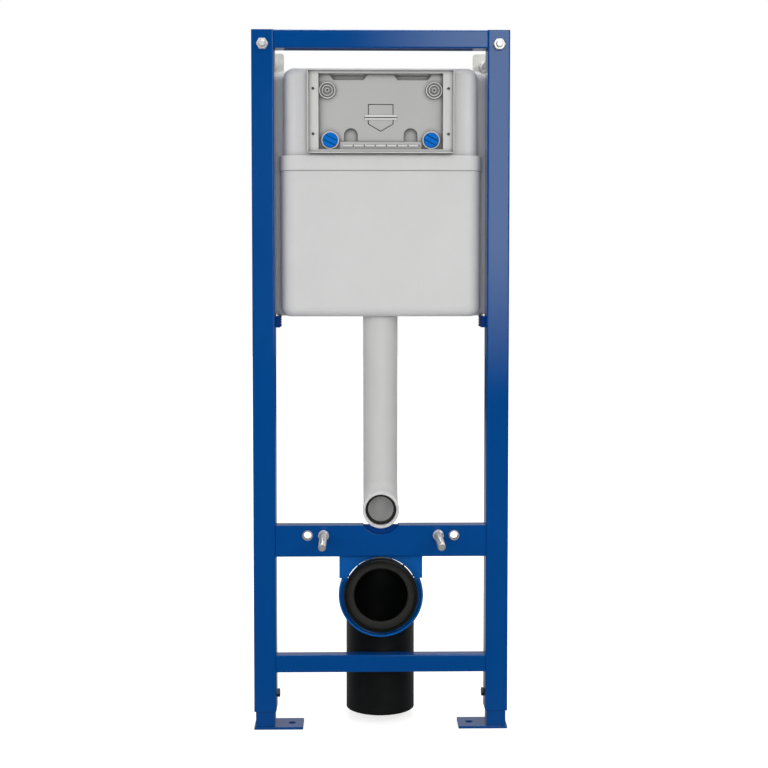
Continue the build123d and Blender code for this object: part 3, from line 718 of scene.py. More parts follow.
@dataclass(frozen=True)
class Skin:
    """Finish built on the plain skin group; other finishes extend it."""

    name: str
    base: Colour
    roughness: float
    drift: float = 0.04
    grain_scale: float = 900.0
    patch_scale: float = 9.0
    roughness_drift: float = 0.05
    bump: float = 0.05
    bump_height: float = 0.0002
    specular: float = 0.3
    metallic: float = 0.0
    dust: float = 0.06
    # Painted shade in grooves, corners and gaps: its amount, and the reach of the occlusion that finds
    # them.
    crevice: float = 0.0
    crevice_reach: float = 0.008
    soft_edge: float = 0.0
    glow_through: float = 0.0
    glow_reach: float = 0.004
    bloom: float = 0.0
    bloom_roughness: float = 0.5
    # Share of the base colour that the painted shade in crevices darkens to.
    crevice_shade: float = 0.12
    dust_colour: Colour = (0.55, 0.54, 0.52)

    def material(self, effects: Effects) -> bpy.types.Material:
        """Make the finish.

        Args:
            effects: The shared groups.

        Returns:
            The material.
        """
        made = bpy.data.materials.new(self.name)
        made.use_nodes = True
        graph = Graph(made.node_tree)
        shader = graph.node("ShaderNodeBsdfPrincipled")
        output = graph.node("ShaderNodeOutputMaterial")
        graph.link(shader.outputs[0], output.inputs["Surface"])
        graph.set(shader, Metallic=self.metallic, Specular_IOR_Level=self.specular)
        if self.glow_through:
            graph.set(shader, Subsurface_Weight=self.glow_through, Subsurface_Scale=self.glow_reach)
            shader.inputs["Subsurface Radius"].default_value = (1.0, 1.0, 1.0)
        if self.bloom:
            graph.set(shader, Sheen_Weight=self.bloom, Sheen_Roughness=self.bloom_roughness)
        skin = graph.effect(
            effects.skin,
            Base=(*self.base, 1),
            Drift=self.drift,
            Grain_Scale=self.grain_scale,
            Patch_Scale=self.patch_scale,
            Roughness=self.roughness,
            Roughness_Drift=self.roughness_drift,
        )
        colour, roughness, height = self.detail(graph, effects, skin)
        if self.dust:
            veil = graph.effect(effects.dust, Amount=self.dust)
            colour = graph.blend(veil.outputs["Mask"], colour, (*self.dust_colour, 1))
        # Painted shade: darken the colour where the occlusion mask finds grooves, corners and gaps.
        if self.crevice:
            painted_shade_mask = graph.effect(effects.crevice, Reach=self.crevice_reach, Amount=self.crevice)
            colour = graph.blend(painted_shade_mask.outputs["Mask"], colour, self.darker(self.crevice_shade))
        graph.link(colour, shader.inputs["Base Color"])
        graph.link(roughness, shader.inputs["Roughness"])
        relief = graph.set(graph.node("ShaderNodeBump"), Strength=self.bump, Distance=self.bump_height)
        graph.link(height, relief.inputs["Height"])
        if self.soft_edge:
            eased = graph.set(graph.node("ShaderNodeBevel", samples=6), Radius=self.soft_edge)
            graph.link(eased.outputs[0], relief.inputs["Normal"])
        graph.link(relief.outputs[0], shader.inputs["Normal"])
        return made

    def darker(self, share: float) -> tuple[float, ...]:
        """Base colour at a share of its lightness, with alpha."""
        return (*(channel * share for channel in self.base), 1)

    def detail(self, graph: Graph, effects: Effects, skin: Node) -> Look:
        """Colour, roughness and height of the finish, from the skin group alone."""
        return skin.outputs["Colour"], skin.outputs["Roughness"], skin.outputs["Height"]


@dataclass(frozen=True)
class FoamJacket(Skin):
    """Moulded foam jacket with its beads just showing."""

    bead_scale: float = 330.0
    bead_shade: float = 0.05
    bead_height: float = 0.6
    seam_shade: float = 0.55

    def detail(self, graph: Graph, effects: Effects, skin: Node) -> Look:
        """Darken the seams between the beads and raise the beads under the grain."""
        beads = graph.effect(effects.beads, Bead_Scale=self.bead_scale)
        seam = graph.math("MULTIPLY", beads.outputs["Seam"], self.bead_shade)
        colour = graph.blend(seam, skin.outputs["Colour"], self.darker(self.seam_shade))
        domes = graph.math("MULTIPLY", beads.outputs["Height"], self.bead_height)
        height = graph.math("ADD", domes, skin.outputs["Height"])
        return colour, skin.outputs["Roughness"], height


@dataclass(frozen=True)
class DrawnPiece(Skin):
    """Finish with fine lines along the piece: extruded pipe, drawn rod or turned metal."""

    squeeze: Triple = (1.0, 1.0, 0.02)
    across_scale: float = 2500.0
    line_shade: float = 0.08
    line_height: float = 0.7
    line_gloss: float = 0.08
    dark: float = 0.75

    def detail(self, graph: Graph, effects: Effects, skin: Node) -> Look:
        """Shade the colour and the roughness along the lines and cut them into the height."""
        x, y, z = self.squeeze
        lines = graph.effect(effects.drawn, Across_Scale=self.across_scale, Along_X=x, Along_Y=y, Along_Z=z)
        share = graph.math("MULTIPLY", lines.outputs["Shade"], self.line_shade)
        colour = graph.blend(share, skin.outputs["Colour"], self.darker(self.dark))
        uneven = graph.math("MULTIPLY", lines.outputs["Shade"], self.line_gloss)
        roughness = graph.math("ADD", skin.outputs["Roughness"], uneven)
        cuts = graph.math("MULTIPLY", lines.outputs["Lines"], self.line_height)
        height = graph.math("ADD", cuts, skin.outputs["Height"])
        return colour, roughness, height


@dataclass(frozen=True)
class SpangledZinc(Skin):
    """Galvanised sheet with its crystals."""

    crystal_scale: float = 160.0
    crystal_shade: float = 0.35
    crystal_gloss: float = 0.14
    dark: float = 0.7

    def detail(self, graph: Graph, effects: Effects, skin: Node) -> Look:
        """Shade each crystal in colour and gloss."""
        cells = graph.effect(effects.spangle, Crystal_Scale=self.crystal_scale)
        share = graph.math("MULTIPLY", cells.outputs["Shade"], self.crystal_shade)
        colour = graph.blend(share, skin.outputs["Colour"], self.darker(self.dark))
        uneven = graph.math("MULTIPLY", cells.outputs["Gloss"], self.crystal_gloss)
        return colour, graph.math("ADD", skin.outputs["Roughness"], uneven), cells.outputs["Height"]


# Both sets darken the colour in recesses as painted shade.
TURNED_ZINC = {"drift": 0.05, "patch_scale": 120.0, "squeeze": (1.0, 0.05, 1.0), "across_scale": 1600.0,
               "specular": 0.5, "dust": 0.0, "crevice": 0.6, "crevice_reach": 0.004}
WINDOW_MOULDING = {"drift": 0.02, "grain_scale": 1800.0, "bump": 0.12, "specular": 0.25, "dust": 0.02,
                   "crevice": 0.75, "soft_edge": 0.0006}


@dataclass
class Palette:
    """All finishes of the frame, made once."""

    effects: Effects = field(default_factory=Effects)
    made: dict[str, bpy.types.Material] = field(default_factory=dict)
    finishes: tuple[Skin, ...] = (
        Skin("blue_powder_coat", (0.0002, 0.0515, 0.226), 0.1, drift=0.03, grain_scale=700.0,
             roughness_drift=0.015, bump=0.02, specular=0.4, dust=0.0, soft_edge=0.0015),
        Skin("bright_blue_coat", (0.0004, 0.086, 0.345), 0.16, drift=0.04, grain_scale=700.0,
             bump=0.03, specular=0.4, dust=0.0, soft_edge=0.0006),
        DrawnPiece("bright_zinc_plate", (0.8, 0.79, 0.82), 0.3, metallic=0.5, **TURNED_ZINC),
        DrawnPiece("thread_zinc", (0.66, 0.65, 0.665), 0.34, metallic=0.75, **TURNED_ZINC),
        DrawnPiece("dull_zinc_plate", (0.2, 0.205, 0.21), 0.42, metallic=1.0, drift=0.08, patch_scale=120.0,
                   squeeze=(0.05, 1.0, 1.0), across_scale=1600.0, specular=0.5, dust=0.0),
        SpangledZinc("galvanised_sheet", (0.78, 0.78, 0.77), 0.42, metallic=0.4, drift=0.05,
                     patch_scale=40.0, bump=0.08, specular=0.5, dust=0.05),
        FoamJacket("tank_jacket", (0.573, 0.573, 0.588), 0.62, drift=0.02, grain_scale=1500.0,
                   bump=0.22, bump_height=0.0003, specular=0.3, dust=0.03, crevice=0.3,
                   crevice_reach=0.01, glow_through=0.4, glow_reach=0.008),
        Skin("cover_moulding", (0.395, 0.394, 0.404), 0.5, **WINDOW_MOULDING),
        Skin("frame_moulding", (0.5, 0.5, 0.51), 0.5, **WINDOW_MOULDING),
        # Lighter copy of the window moulding on raised ribs, bars and rims: a painted highlight where light
        # catches them.
        Skin("painted_highlight_moulding", (0.56, 0.565, 0.57), 0.4, drift=0.02, grain_scale=1800.0, bump=0.08,
             specular=0.3, dust=0.0),
        # Dark strips that stand in for the shade in grooves and gaps and the shadows under edges: painted
        # shade.
        Skin("painted_shade_strip", (0.13, 0.13, 0.132), 0.6, drift=0.1, grain_scale=1800.0, bump=0.1,
             specular=0.1, dust=0.03),
        DrawnPiece("pipe_plastic", (0.56, 0.56, 0.568), 0.4, drift=0.02, squeeze=(1.0, 1.0, 0.01),
                   across_scale=900.0, line_shade=0.12, dark=0.88, bump=0.04, specular=0.35, dust=0.02,
                   crevice=0.2, crevice_reach=0.01, glow_through=0.7, glow_reach=0.01, bloom=0.4),
        Skin("black_plastic", (0.005, 0.0058, 0.006), 0.4, drift=0.2, grain_scale=1300.0,
             patch_scale=30.0, bump=0.1, specular=0.25, dust=0.0, crevice=0.3),
        Skin("gloss_blue_plastic", (0.0004, 0.121, 0.485), 0.3, drift=0.05, grain_scale=1500.0,
             bump=0.05, specular=0.05, dust=0.0, crevice=0.6, crevice_reach=0.003, soft_edge=0.0005),
        Skin("dark_blue_plastic", (0.0004, 0.031, 0.17), 0.4, drift=0.06, grain_scale=1500.0,
             bump=0.06, specular=0.05, dust=0.0),
        Skin("seal_rubber", (0.022, 0.022, 0.021), 0.6, drift=0.12, grain_scale=2200.0,
             patch_scale=60.0, bump=0.2, specular=0.2, dust=0.02, crevice=0.6),
    )

    def build(self) -> None:
        """Make every finish."""
        for finish in self.finishes:
            self.made[finish.name] = finish.material(self.effects)

    def dress(self, name: str, *nodes: str) -> None:
        """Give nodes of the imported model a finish.

        Args:
            name: Name of the finish.
            nodes: Names of the nodes.
        """
        for node in nodes:
            body = bpy.data.objects[node]
            if not body.material_slots:
                body.data.materials.append(None)
            for place in body.material_slots:
                place.link = "OBJECT"
                place.material = self.made[name]

    def paint(self, name: str, piece: Body) -> None:
        """Give a new piece a finish."""
        piece.data.materials.clear()
        piece.data.materials.append(self.made[name])


# Sub-assemblies


@dataclass
class SteelFrame:
    """Posts, bars, fixing plate, legs and feet, with the weld beads at the joints behind the bars."""

    half_span: float = 165.0
    bar_backs: tuple[Triple, ...] = (
        (33.0, 1068.0, 1094.0),
        (20.0, 92.0, 118.0),
        (22.0, 276.0, 324.0),
    )
    bead: WeldBead = WeldBead()

    def dress(self, palette: Palette) -> None:
        """Paint the steel."""
        palette.dress("blue_powder_coat", "top_bar", "lower_bar", "fixing_plate")
        for side in Side:
            palette.dress("blue_powder_coat", f"{side.word}_foot", f"{side.word}_leg", f"{side.word}_post")

    def weld(self, palette: Palette) -> Body:
        """Lay a bead where the back of each bar meets a post.

        Args:
            palette: The finishes.

        Returns:
            The piece with all the beads.
        """
        shells = [
            self.bead.shell(spot(x, depth, low), spot(x, depth, high))
            for x in (side.value * self.half_span for side in Side)
            for depth, low, high in self.bar_backs
        ]
        piece = closed_mesh("weld_beads", shells, smooth_angle=60.0)
        palette.paint("blue_powder_coat", piece)
        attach(piece, "frame")
        return piece


@dataclass
class WallFixings:
    """Threaded wall rods with their nuts, washers and wall plates."""

    off_centre: float = 182.5
    height: float = 1072.5
    proud: float = 12.0
    wall: float = 253.0
    thread: Thread = Thread(size=10.0, pitch=1.5, steps=6, around=22)
    nut: Hexagon = Hexagon(flats=16.0, height=8.0, hole=9.6)
    nut_backs: tuple[float, ...] = (0.0, 48.0, 248.0)
    washer_hole: float = 10.4
    washer_size: float = 20.0
    washer_thickness: float = 2.0
    washer_back: float = 250.0

    def build(self, side: Side, palette: Palette) -> None:
        """Replace one side's rod and nuts and dress its wall plate.

        Args:
            side: Side of the frame.
            palette: The finishes.
        """
        x = side.value * self.off_centre
        radius, along = self.thread.outline(self.proud + self.wall, start_chamfer=1.0, end_chamfer=0.3)
        rod = closed_mesh(
            f"{side.word}_rod_thread",
            [turned(spot(x, -self.proud, self.height), Facing.WALL, radius, along)],
        )
        shells = [self.nut.shell(spot(x, back, self.height), Facing.FRONT) for back in self.nut_backs]
        shells.append(turned_profile(spot(x, self.washer_back, self.height), Facing.FRONT, self._washer()))
        nuts = closed_mesh(f"{side.word}_rod_hexagons", shells, smooth_angle=25.0)
        for piece, node in ((rod, "wall_rod"), (nuts, "rod_nuts")):
            palette.paint("bright_zinc_plate", piece)
            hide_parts(f"{side.word}_{node}")
            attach(piece, "frame")
        palette.dress("galvanised_sheet", f"{side.word}_wall_bracket")

    def _washer(self, lead: float = 0.2, ease: float = 0.3) -> Outline:
        """Section of the washer, with a small lead round its hole and eased edges round its rim."""
        hole, rim, thick = self.washer_hole / 2, self.washer_size / 2, self.washer_thickness
        return [(hole, lead), (hole + lead, 0.0), (rim - ease, 0.0), (rim, ease),
                (rim, thick - ease), (rim - ease, thick), (hole + lead, thick), (hole, thick - lead)]


@dataclass
class PanFixings:
    """Pan studs with their flanged nuts, and the threaded inserts outside them."""

    stud_offset: float = 90.0
    insert_offset: float = 115.0
    height: float = 309.0
    reach: float = 95.0
    tail: float = 16.0
    thread: Thread = Thread(size=12.0, pitch=1.75, steps=7, around=28)
    front_nut: Hexagon = Hexagon(flats=15.0, height=8.0, hole=11.4)
    flange: float = 17.0
    rear_nut: Hexagon = Hexagon(flats=19.0, height=9.0, hole=11.4)
    sheet: float = 2.5
    insert_bore: float = 12.0
    insert_pitch: float = 1.75
    insert_ridge: float = 0.45
    insert_rim: float = 8.25
    insert_rim_height: float = 1.2
    insert_body: float = 7.0
    insert_length: float = 9.8
    insert_lead: float = 0.35
    insert_ease: float = 0.3
    insert_end_ease: float = 0.4
    insert_sides: int = 40
    insert_rows: int = 42

    def build(self, side: Side, palette: Palette) -> None:
        """Replace one side's stud, nuts and insert.

        Args:
            side: Side of the frame.
            palette: The finishes.
        """
        x = side.value * self.stud_offset
        radius, along = self.thread.outline(self.reach + self.tail, start_chamfer=1.5, end_chamfer=1.0)
        stud = closed_mesh(
            f"{side.word}_stud_thread",
            [turned(spot(x, -self.reach, self.height), Facing.WALL, radius, along)],
        )
        nuts = closed_mesh(
            f"{side.word}_stud_hexagons",
            [
                self.front_nut.shell(spot(x, 0, self.height), Facing.FRONT, self.flange),
                self.rear_nut.shell(spot(x, self.sheet, self.height), Facing.WALL),
            ],
            smooth_angle=25.0,
        )
        insert = closed_mesh(
            f"{side.word}_insert_bush",
            [self._insert(spot(side.value * self.insert_offset, 0, self.height))],
            smooth_angle=28.0,
        )
        for piece, node in ((stud, "pan_stud"), (nuts, "stud_nuts"), (insert, "threaded_insert")):
            palette.paint("bright_zinc_plate" if piece is nuts else "thread_zinc", piece)
            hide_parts(f"{side.word}_{node}")
            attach(piece, "frame")

    def _insert(self, origin: np.ndarray) -> np.ndarray:
        """Rimmed bush whose bore carries ridges of a thread.

        The bore's radius is its plain radius plus the ridge times a triangle wave, one less the absolute
        value of twice the phase less one. The phase is the depth over the pitch less the angle over a
        full turn, without its whole part.

        Args:
            origin: Middle of the rim's rear face in metres.

        Returns:
            The grid of points in metres.
        """
        flat = np.ones(self.insert_sides)
        turn = np.linspace(0, 1, len(flat), endpoint=False)
        bore, rim, body = self.insert_bore / 2, self.insert_rim, self.insert_body
        lead, ease, end_ease = self.insert_lead, self.insert_ease, self.insert_end_ease
        top, end = self.insert_rim_height, -self.insert_length
        outline = np.array([
            (bore + lead, top), (rim - lead, top), (rim, top - ease), (rim, 0.0),
            (body, 0.0), (body, end + end_ease), (body - end_ease, end), (bore + lead, end),
        ])
        depth = np.linspace(end + ease, top - ease, self.insert_rows)[:, None]
        phase = (depth / self.insert_pitch - turn) % 1.0
        ridges = bore + self.insert_ridge * (1 - np.abs(2 * phase - 1))
        radius = np.concatenate([outline[:, :1] * flat, ridges, outline[:1, :1] * flat])
        along = np.concatenate([outline[:, 1:] * flat, depth * flat, outline[:1, 1:] * flat])
        return turned(origin, Facing.FRONT, radius, along)


@dataclass
class ClampBolts:
    """Bolts through the inner walls of the posts that hold the legs."""

    off_centre: float = 165.0
    depth: float = 20.0
    height: float = 53.5
    head: Hexagon = Hexagon(flats=12.0, height=5.0)
    shank: float = 8.0
    shank_length: float = 2.2
    shank_ease: float = 0.3
    shank_sides: int = 32

    def build(self, side: Side, palette: Palette) -> None:
        """Replace one side's bolt.

        Args:
            side: Side of the frame.
            palette: The finishes.
        """
        inwards = Facing.RIGHT if side is Side.LEFT else Facing.LEFT
        face = spot(side.value * self.off_centre, self.depth, self.height)
        head = self.head.shell(face, inwards)
        steps = np.array([-self.shank_length, -self.shank_length + self.shank_ease, 0.0])
        radii = self.shank / 2 - np.array([self.shank_ease, 0.0, 0.0])
        shank = turned(face, inwards, np.repeat(radii[:, None], self.shank_sides, axis=1), steps)
        piece = closed_mesh(f"{side.word}_clamp_screw", [head, shank], smooth_angle=25.0)
        palette.paint("dull_zinc_plate", piece)
        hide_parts(f"{side.word}_clamp_bolt")
        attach(piece, "frame")


@dataclass
class Cistern:
    """Tank, hood, service window with its cover, bosses, locks, and the clips that carry the tank."""

    cover_front: float = 17.5
    groove_bottom: float = 19.1
    # Dark strips of painted shade in the tab's groove and in its crease.
    line_width: float = 1.2
    line_height: float = 0.3
    sunk: float = 0.05
    tab: tuple[Span, ...] = ((-20.0, 983.0), (20.0, 983.0), (20.0, 951.5), (0.0, 940.0), (-20.0, 951.5))
    tab_inset: float = 0.75
    crease_height: float = 962.0
    crease_length: float = 50.0
    crease_ribs: tuple[Span, ...] = ((-3.4, -0.8), (0.8, 4.2))
    crease_rib_proud: float = 0.9
    rail_front: float = 14.5
    rail_height: float = 918.3
    rail_bars: int = 7
    rail_pitch: float = 17.0
    bar_width: float = 15.2
    bar_height: float = 2.9
    bar_proud: float = 0.6
    gap_margin: float = 0.4
    # Painted shade in the rail's gaps, and painted shadow above the rail.
    shade_depth: Span = (-0.1, 0.2)
    rail_top: float = 924.3
    rail_shadow: float = 72.0
    rail_shadow_height: float = 0.9
    knob_place: Span = (78.5, 926.5)
    collar_front: float = 11.5
    collar_radii: Span = (12.1, 13.6)
    collar_proud: float = 0.4
    boss_place: Span = (83.0, 1003.6)
    # Ring of painted shade round each boss.
    boss_gap: Span = (12.9, 13.7)
    boss_gap_proud: float = 0.15
    boss_rims: tuple[Triple, ...] = ((11.3, 12.7, 4.5), (7.2, 8.4, 3.5))
    boss_rim_proud: float = 0.25
    tub_half: float = 157.5
    tub_front: float = 12.0
    tub_corner: float = 24.0
    rim_bottom: float = 880.0
    # Strip of painted shadow under the tub's rim.
    rim_line_height: float = 0.7
    rim_line_depth: Span = (-0.3, 0.25)
    rim_line_steps: int = 17

    def build(self, palette: Palette) -> None:
        """Make the lines, ribs and rings that are too fine for the solids: dark strips of painted shade in
        grooves, in gaps and under edges, and ribs, bars and rings in a lighter copy of the moulding as a
        painted highlight.

        Args:
            palette: The finishes.
        """
        # The lines are painted shade and painted shadow; the ribs carry a painted highlight, a lighter copy
        # of the moulding.
        lines = [*self._tab_painted_shade(), *self._rail_painted_shade(), *self._boss_painted_shade(), self._rim_painted_shadow()]
        ribs = [*self._crease_ribs(), *self._rail_bars(), *self._rings()]
        made = (("cover_painted_shade", lines, "painted_shade_strip"), ("cover_ribs", ribs, "painted_highlight_moulding"))
        for name, shells, finish in made:
            piece = closed_mesh(name, shells, smooth_angle=30.0)
            palette.paint(finish, piece)
            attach(piece, "frame")
            log.info("%s: %d faces", name, len(piece.data.polygons))

    @staticmethod
    def _band(middle: float, height: float) -> Span:
        """Lower and upper edge of a band round a middle height."""
        return middle - height / 2, middle + height / 2

    def _tab_painted_shade(self) -> list[np.ndarray]:
        """Dark strips of painted shade on the floors of the tab's groove and of the crease across it.

        Each corner of the tab moves inwards along the sum of the normals of its two edges, over one plus
        their scalar product, so that both edges of the strip run parallel to the groove.

        Returns:
            The two shells.
        """
        far = self.groove_bottom - self.sunk
        near = far - self.line_height
        corners = np.array(self.tab)
        edges = np.roll(corners, -1, axis=0) - corners
        edges /= np.linalg.norm(edges, axis=1)[:, None]
        inwards = np.stack([edges[:, 1], -edges[:, 0]], axis=1)
        before = np.roll(inwards, 1, axis=0)
        mitre = (before + inwards) / (1 + (before * inwards).sum(axis=1))[:, None]
        half_line = self.line_width / 2
        outer, inner = (corners + mitre * (self.tab_inset + shift) for shift in (-half_line, half_line))
        section = np.stack([outer, inner, inner, outer], axis=1)
        strip = spot(section[..., 0], np.array([near, near, far, far]), section[..., 1])
        half = self.crease_length / 2
        crease = box_shell((-half, half), (near, far), self._band(self.crease_height, self.line_width))
        return [np.concatenate([strip, strip[:1]]), crease]

    def _crease_ribs(self) -> list[np.ndarray]:
        """Two ribs that run along the crease, one below and one above it, lighter as a painted highlight.
        """
        half = self.crease_length / 2
        depth = (self.cover_front - self.crease_rib_proud, self.cover_front + 2 * self.sunk)
        return [
            box_shell((-half, half), depth, (self.crease_height + low, self.crease_height + high))
            for low, high in self.crease_ribs
        ]

    def _rail_places(self) -> list[float]:
        """Distances of the middles of the rail's bars from the centre line."""
        return [(index - (self.rail_bars - 1) / 2) * self.rail_pitch for index in range(self.rail_bars)]

    def _rail_bars(self) -> list[np.ndarray]:
        """Bars of the rail under the cover, lighter as a painted highlight."""
        depth = (self.rail_front - self.bar_proud, self.cover_front + self.sunk)
        height = self._band(self.rail_height, self.bar_height)
        half = self.bar_width / 2
        return [box_shell((x - half, x + half), depth, height) for x in self._rail_places()]

    def _rail_painted_shade(self) -> list[np.ndarray]:
        """Painted shade in the gaps to the right of the bars, and a painted shadow line along the rail's
        top.
        """
        near, far = self.shade_depth
        height = self._band(self.rail_height, self.bar_height + 2 * self.gap_margin)
        start, end = self.bar_width / 2, self.rail_pitch - self.bar_width / 2
        depth = (self.rail_front + near, self.rail_front + far)
        gap_shades = [box_shell((x + start, x + end), depth, height, self.sunk) for x in self._rail_places()]
        half = self.rail_shadow / 2
        above = (self.rail_top, self.rail_top + self.rail_shadow_height)
        depth = (self.cover_front + near, self.cover_front + far)
        return [*gap_shades, box_shell((-half, half), depth, above, self.sunk)]

    def _on_cover(self, side: Side, place: Span, depth: float) -> np.ndarray:
        """Middle of a round feature on one side of the cover, in metres."""
        return spot(side.value * place[0], depth, place[1])

    def _rings(self) -> list[np.ndarray]:
        """Rims of the locks' collars, and the two raised rims of each boss, lighter as a painted highlight.
        """
        collar_rim = flat_ring(*self.collar_radii, self.collar_proud)
        boss_rims = [flat_ring(*radii, self.boss_rim_proud, lift) for *radii, lift in self.boss_rims]
        rings = []
        for side in Side:
            collar = self._on_cover(side, self.knob_place, self.collar_front)
            rings.append(turned_profile(collar, Facing.FRONT, collar_rim))
            boss = self._on_cover(side, self.boss_place, self.cover_front)
            rings += [turned_profile(boss, Facing.FRONT, rim) for rim in boss_rims]
        return rings

    def _boss_painted_shade(self) -> list[np.ndarray]:
        """Rings of painted shade where the bosses come out of the cover."""
        section = flat_ring(*self.boss_gap, self.boss_gap_proud)
        return [
            turned_profile(self._on_cover(side, self.boss_place, self.cover_front), Facing.FRONT, section)
            for side in Side
        ]

    def _rim_painted_shadow(self) -> np.ndarray:
        """Closed strip of painted shadow under the tub's rim: straight in front, with a quarter circle
        round each corner.

        Each point of the section lies at the corner's radius plus its depth from the corner's middle,
        along the cosine and the sine of its angle round the corner.

        Returns:
            The grid of points in metres.
        """
        centre_x = self.tub_half - self.tub_corner
        centre_depth = self.tub_front + self.tub_corner
        turn = np.linspace(0, pi / 2, self.rim_line_steps)
        middle_x = np.repeat([-centre_x, centre_x], len(turn))[:, None]
        outwards_x = np.concatenate([-np.cos(turn), np.sin(turn)])[:, None]
        outwards_depth = np.concatenate([-np.sin(turn), -np.cos(turn)])[:, None]
        low, high = self.rim_bottom - self.rim_line_height, self.rim_bottom + self.sunk
        inner, outer = self.rim_line_depth
        reach = self.tub_corner + np.array([outer, outer, inner, inner])
        height = np.array([low, high, high, low])
        return spot(middle_x + reach * outwards_x, centre_depth + reach * outwards_depth, height)

    def dress(self, palette: Palette) -> None:
        """Dress the tank and everything in its service window."""
        palette.dress("tank_jacket", "tank_tub", "tank_hood")
        palette.dress("frame_moulding", "service_frame")
        palette.dress("cover_moulding", "cover_plate")
        for side in Side:
            palette.dress("cover_moulding", f"{side.word}_boss")
            palette.dress("gloss_blue_plastic", f"{side.word}_lock_knob")
            palette.dress("dark_blue_plastic", f"{side.word}_tank_clip")


@dataclass
class Pipework:
    """Flush pipe, drain bend, their seals, and the holder and clamp of the drain."""

    def dress(self, palette: Palette) -> None:
        """Dress the pipes, seals and the drain's holder."""
        palette.dress("pipe_plastic", "flush_pipe")
        palette.dress("dark_blue_plastic", "flush_saddle")
        palette.dress("black_plastic", "drain_bend")
        palette.dress("seal_rubber", "flush_seal", "drain_seal")
        palette.dress("bright_blue_coat", "drain_holder", "drain_clamp")


@dataclass(frozen=True)
class SoftLamp:
    """Rectangular lamp that the camera doesn't see."""

    name: str
    place: Place
    width: float
    power: float
    colour: Colour = (1.0, 1.0, 1.0)
    height: float | None = None
    mirrored: bool = True
    aim: Place = (CENTRE_LINE, 0.0, 0.55)

    def hang(self) -> Body:
        """Make the lamp and turn it to the middle of the frame.

        Returns:
            The lamp.
        """
        light = bpy.data.lights.new(self.name, "AREA")
        light.shape = "RECTANGLE"
        light.size = self.width
        light.size_y = self.height or self.width
        light.energy = self.power
        light.color = self.colour
        lamp = bpy.data.objects.new(self.name, light)
        bpy.context.scene.collection.objects.link(lamp)
        lamp.location = self.place
        lamp.rotation_euler = (Vector(self.aim) - Vector(self.place)).to_track_quat("-Z", "Y").to_euler()
        lamp.visible_camera = False
        lamp.visible_glossy = self.mirrored
        return lamp


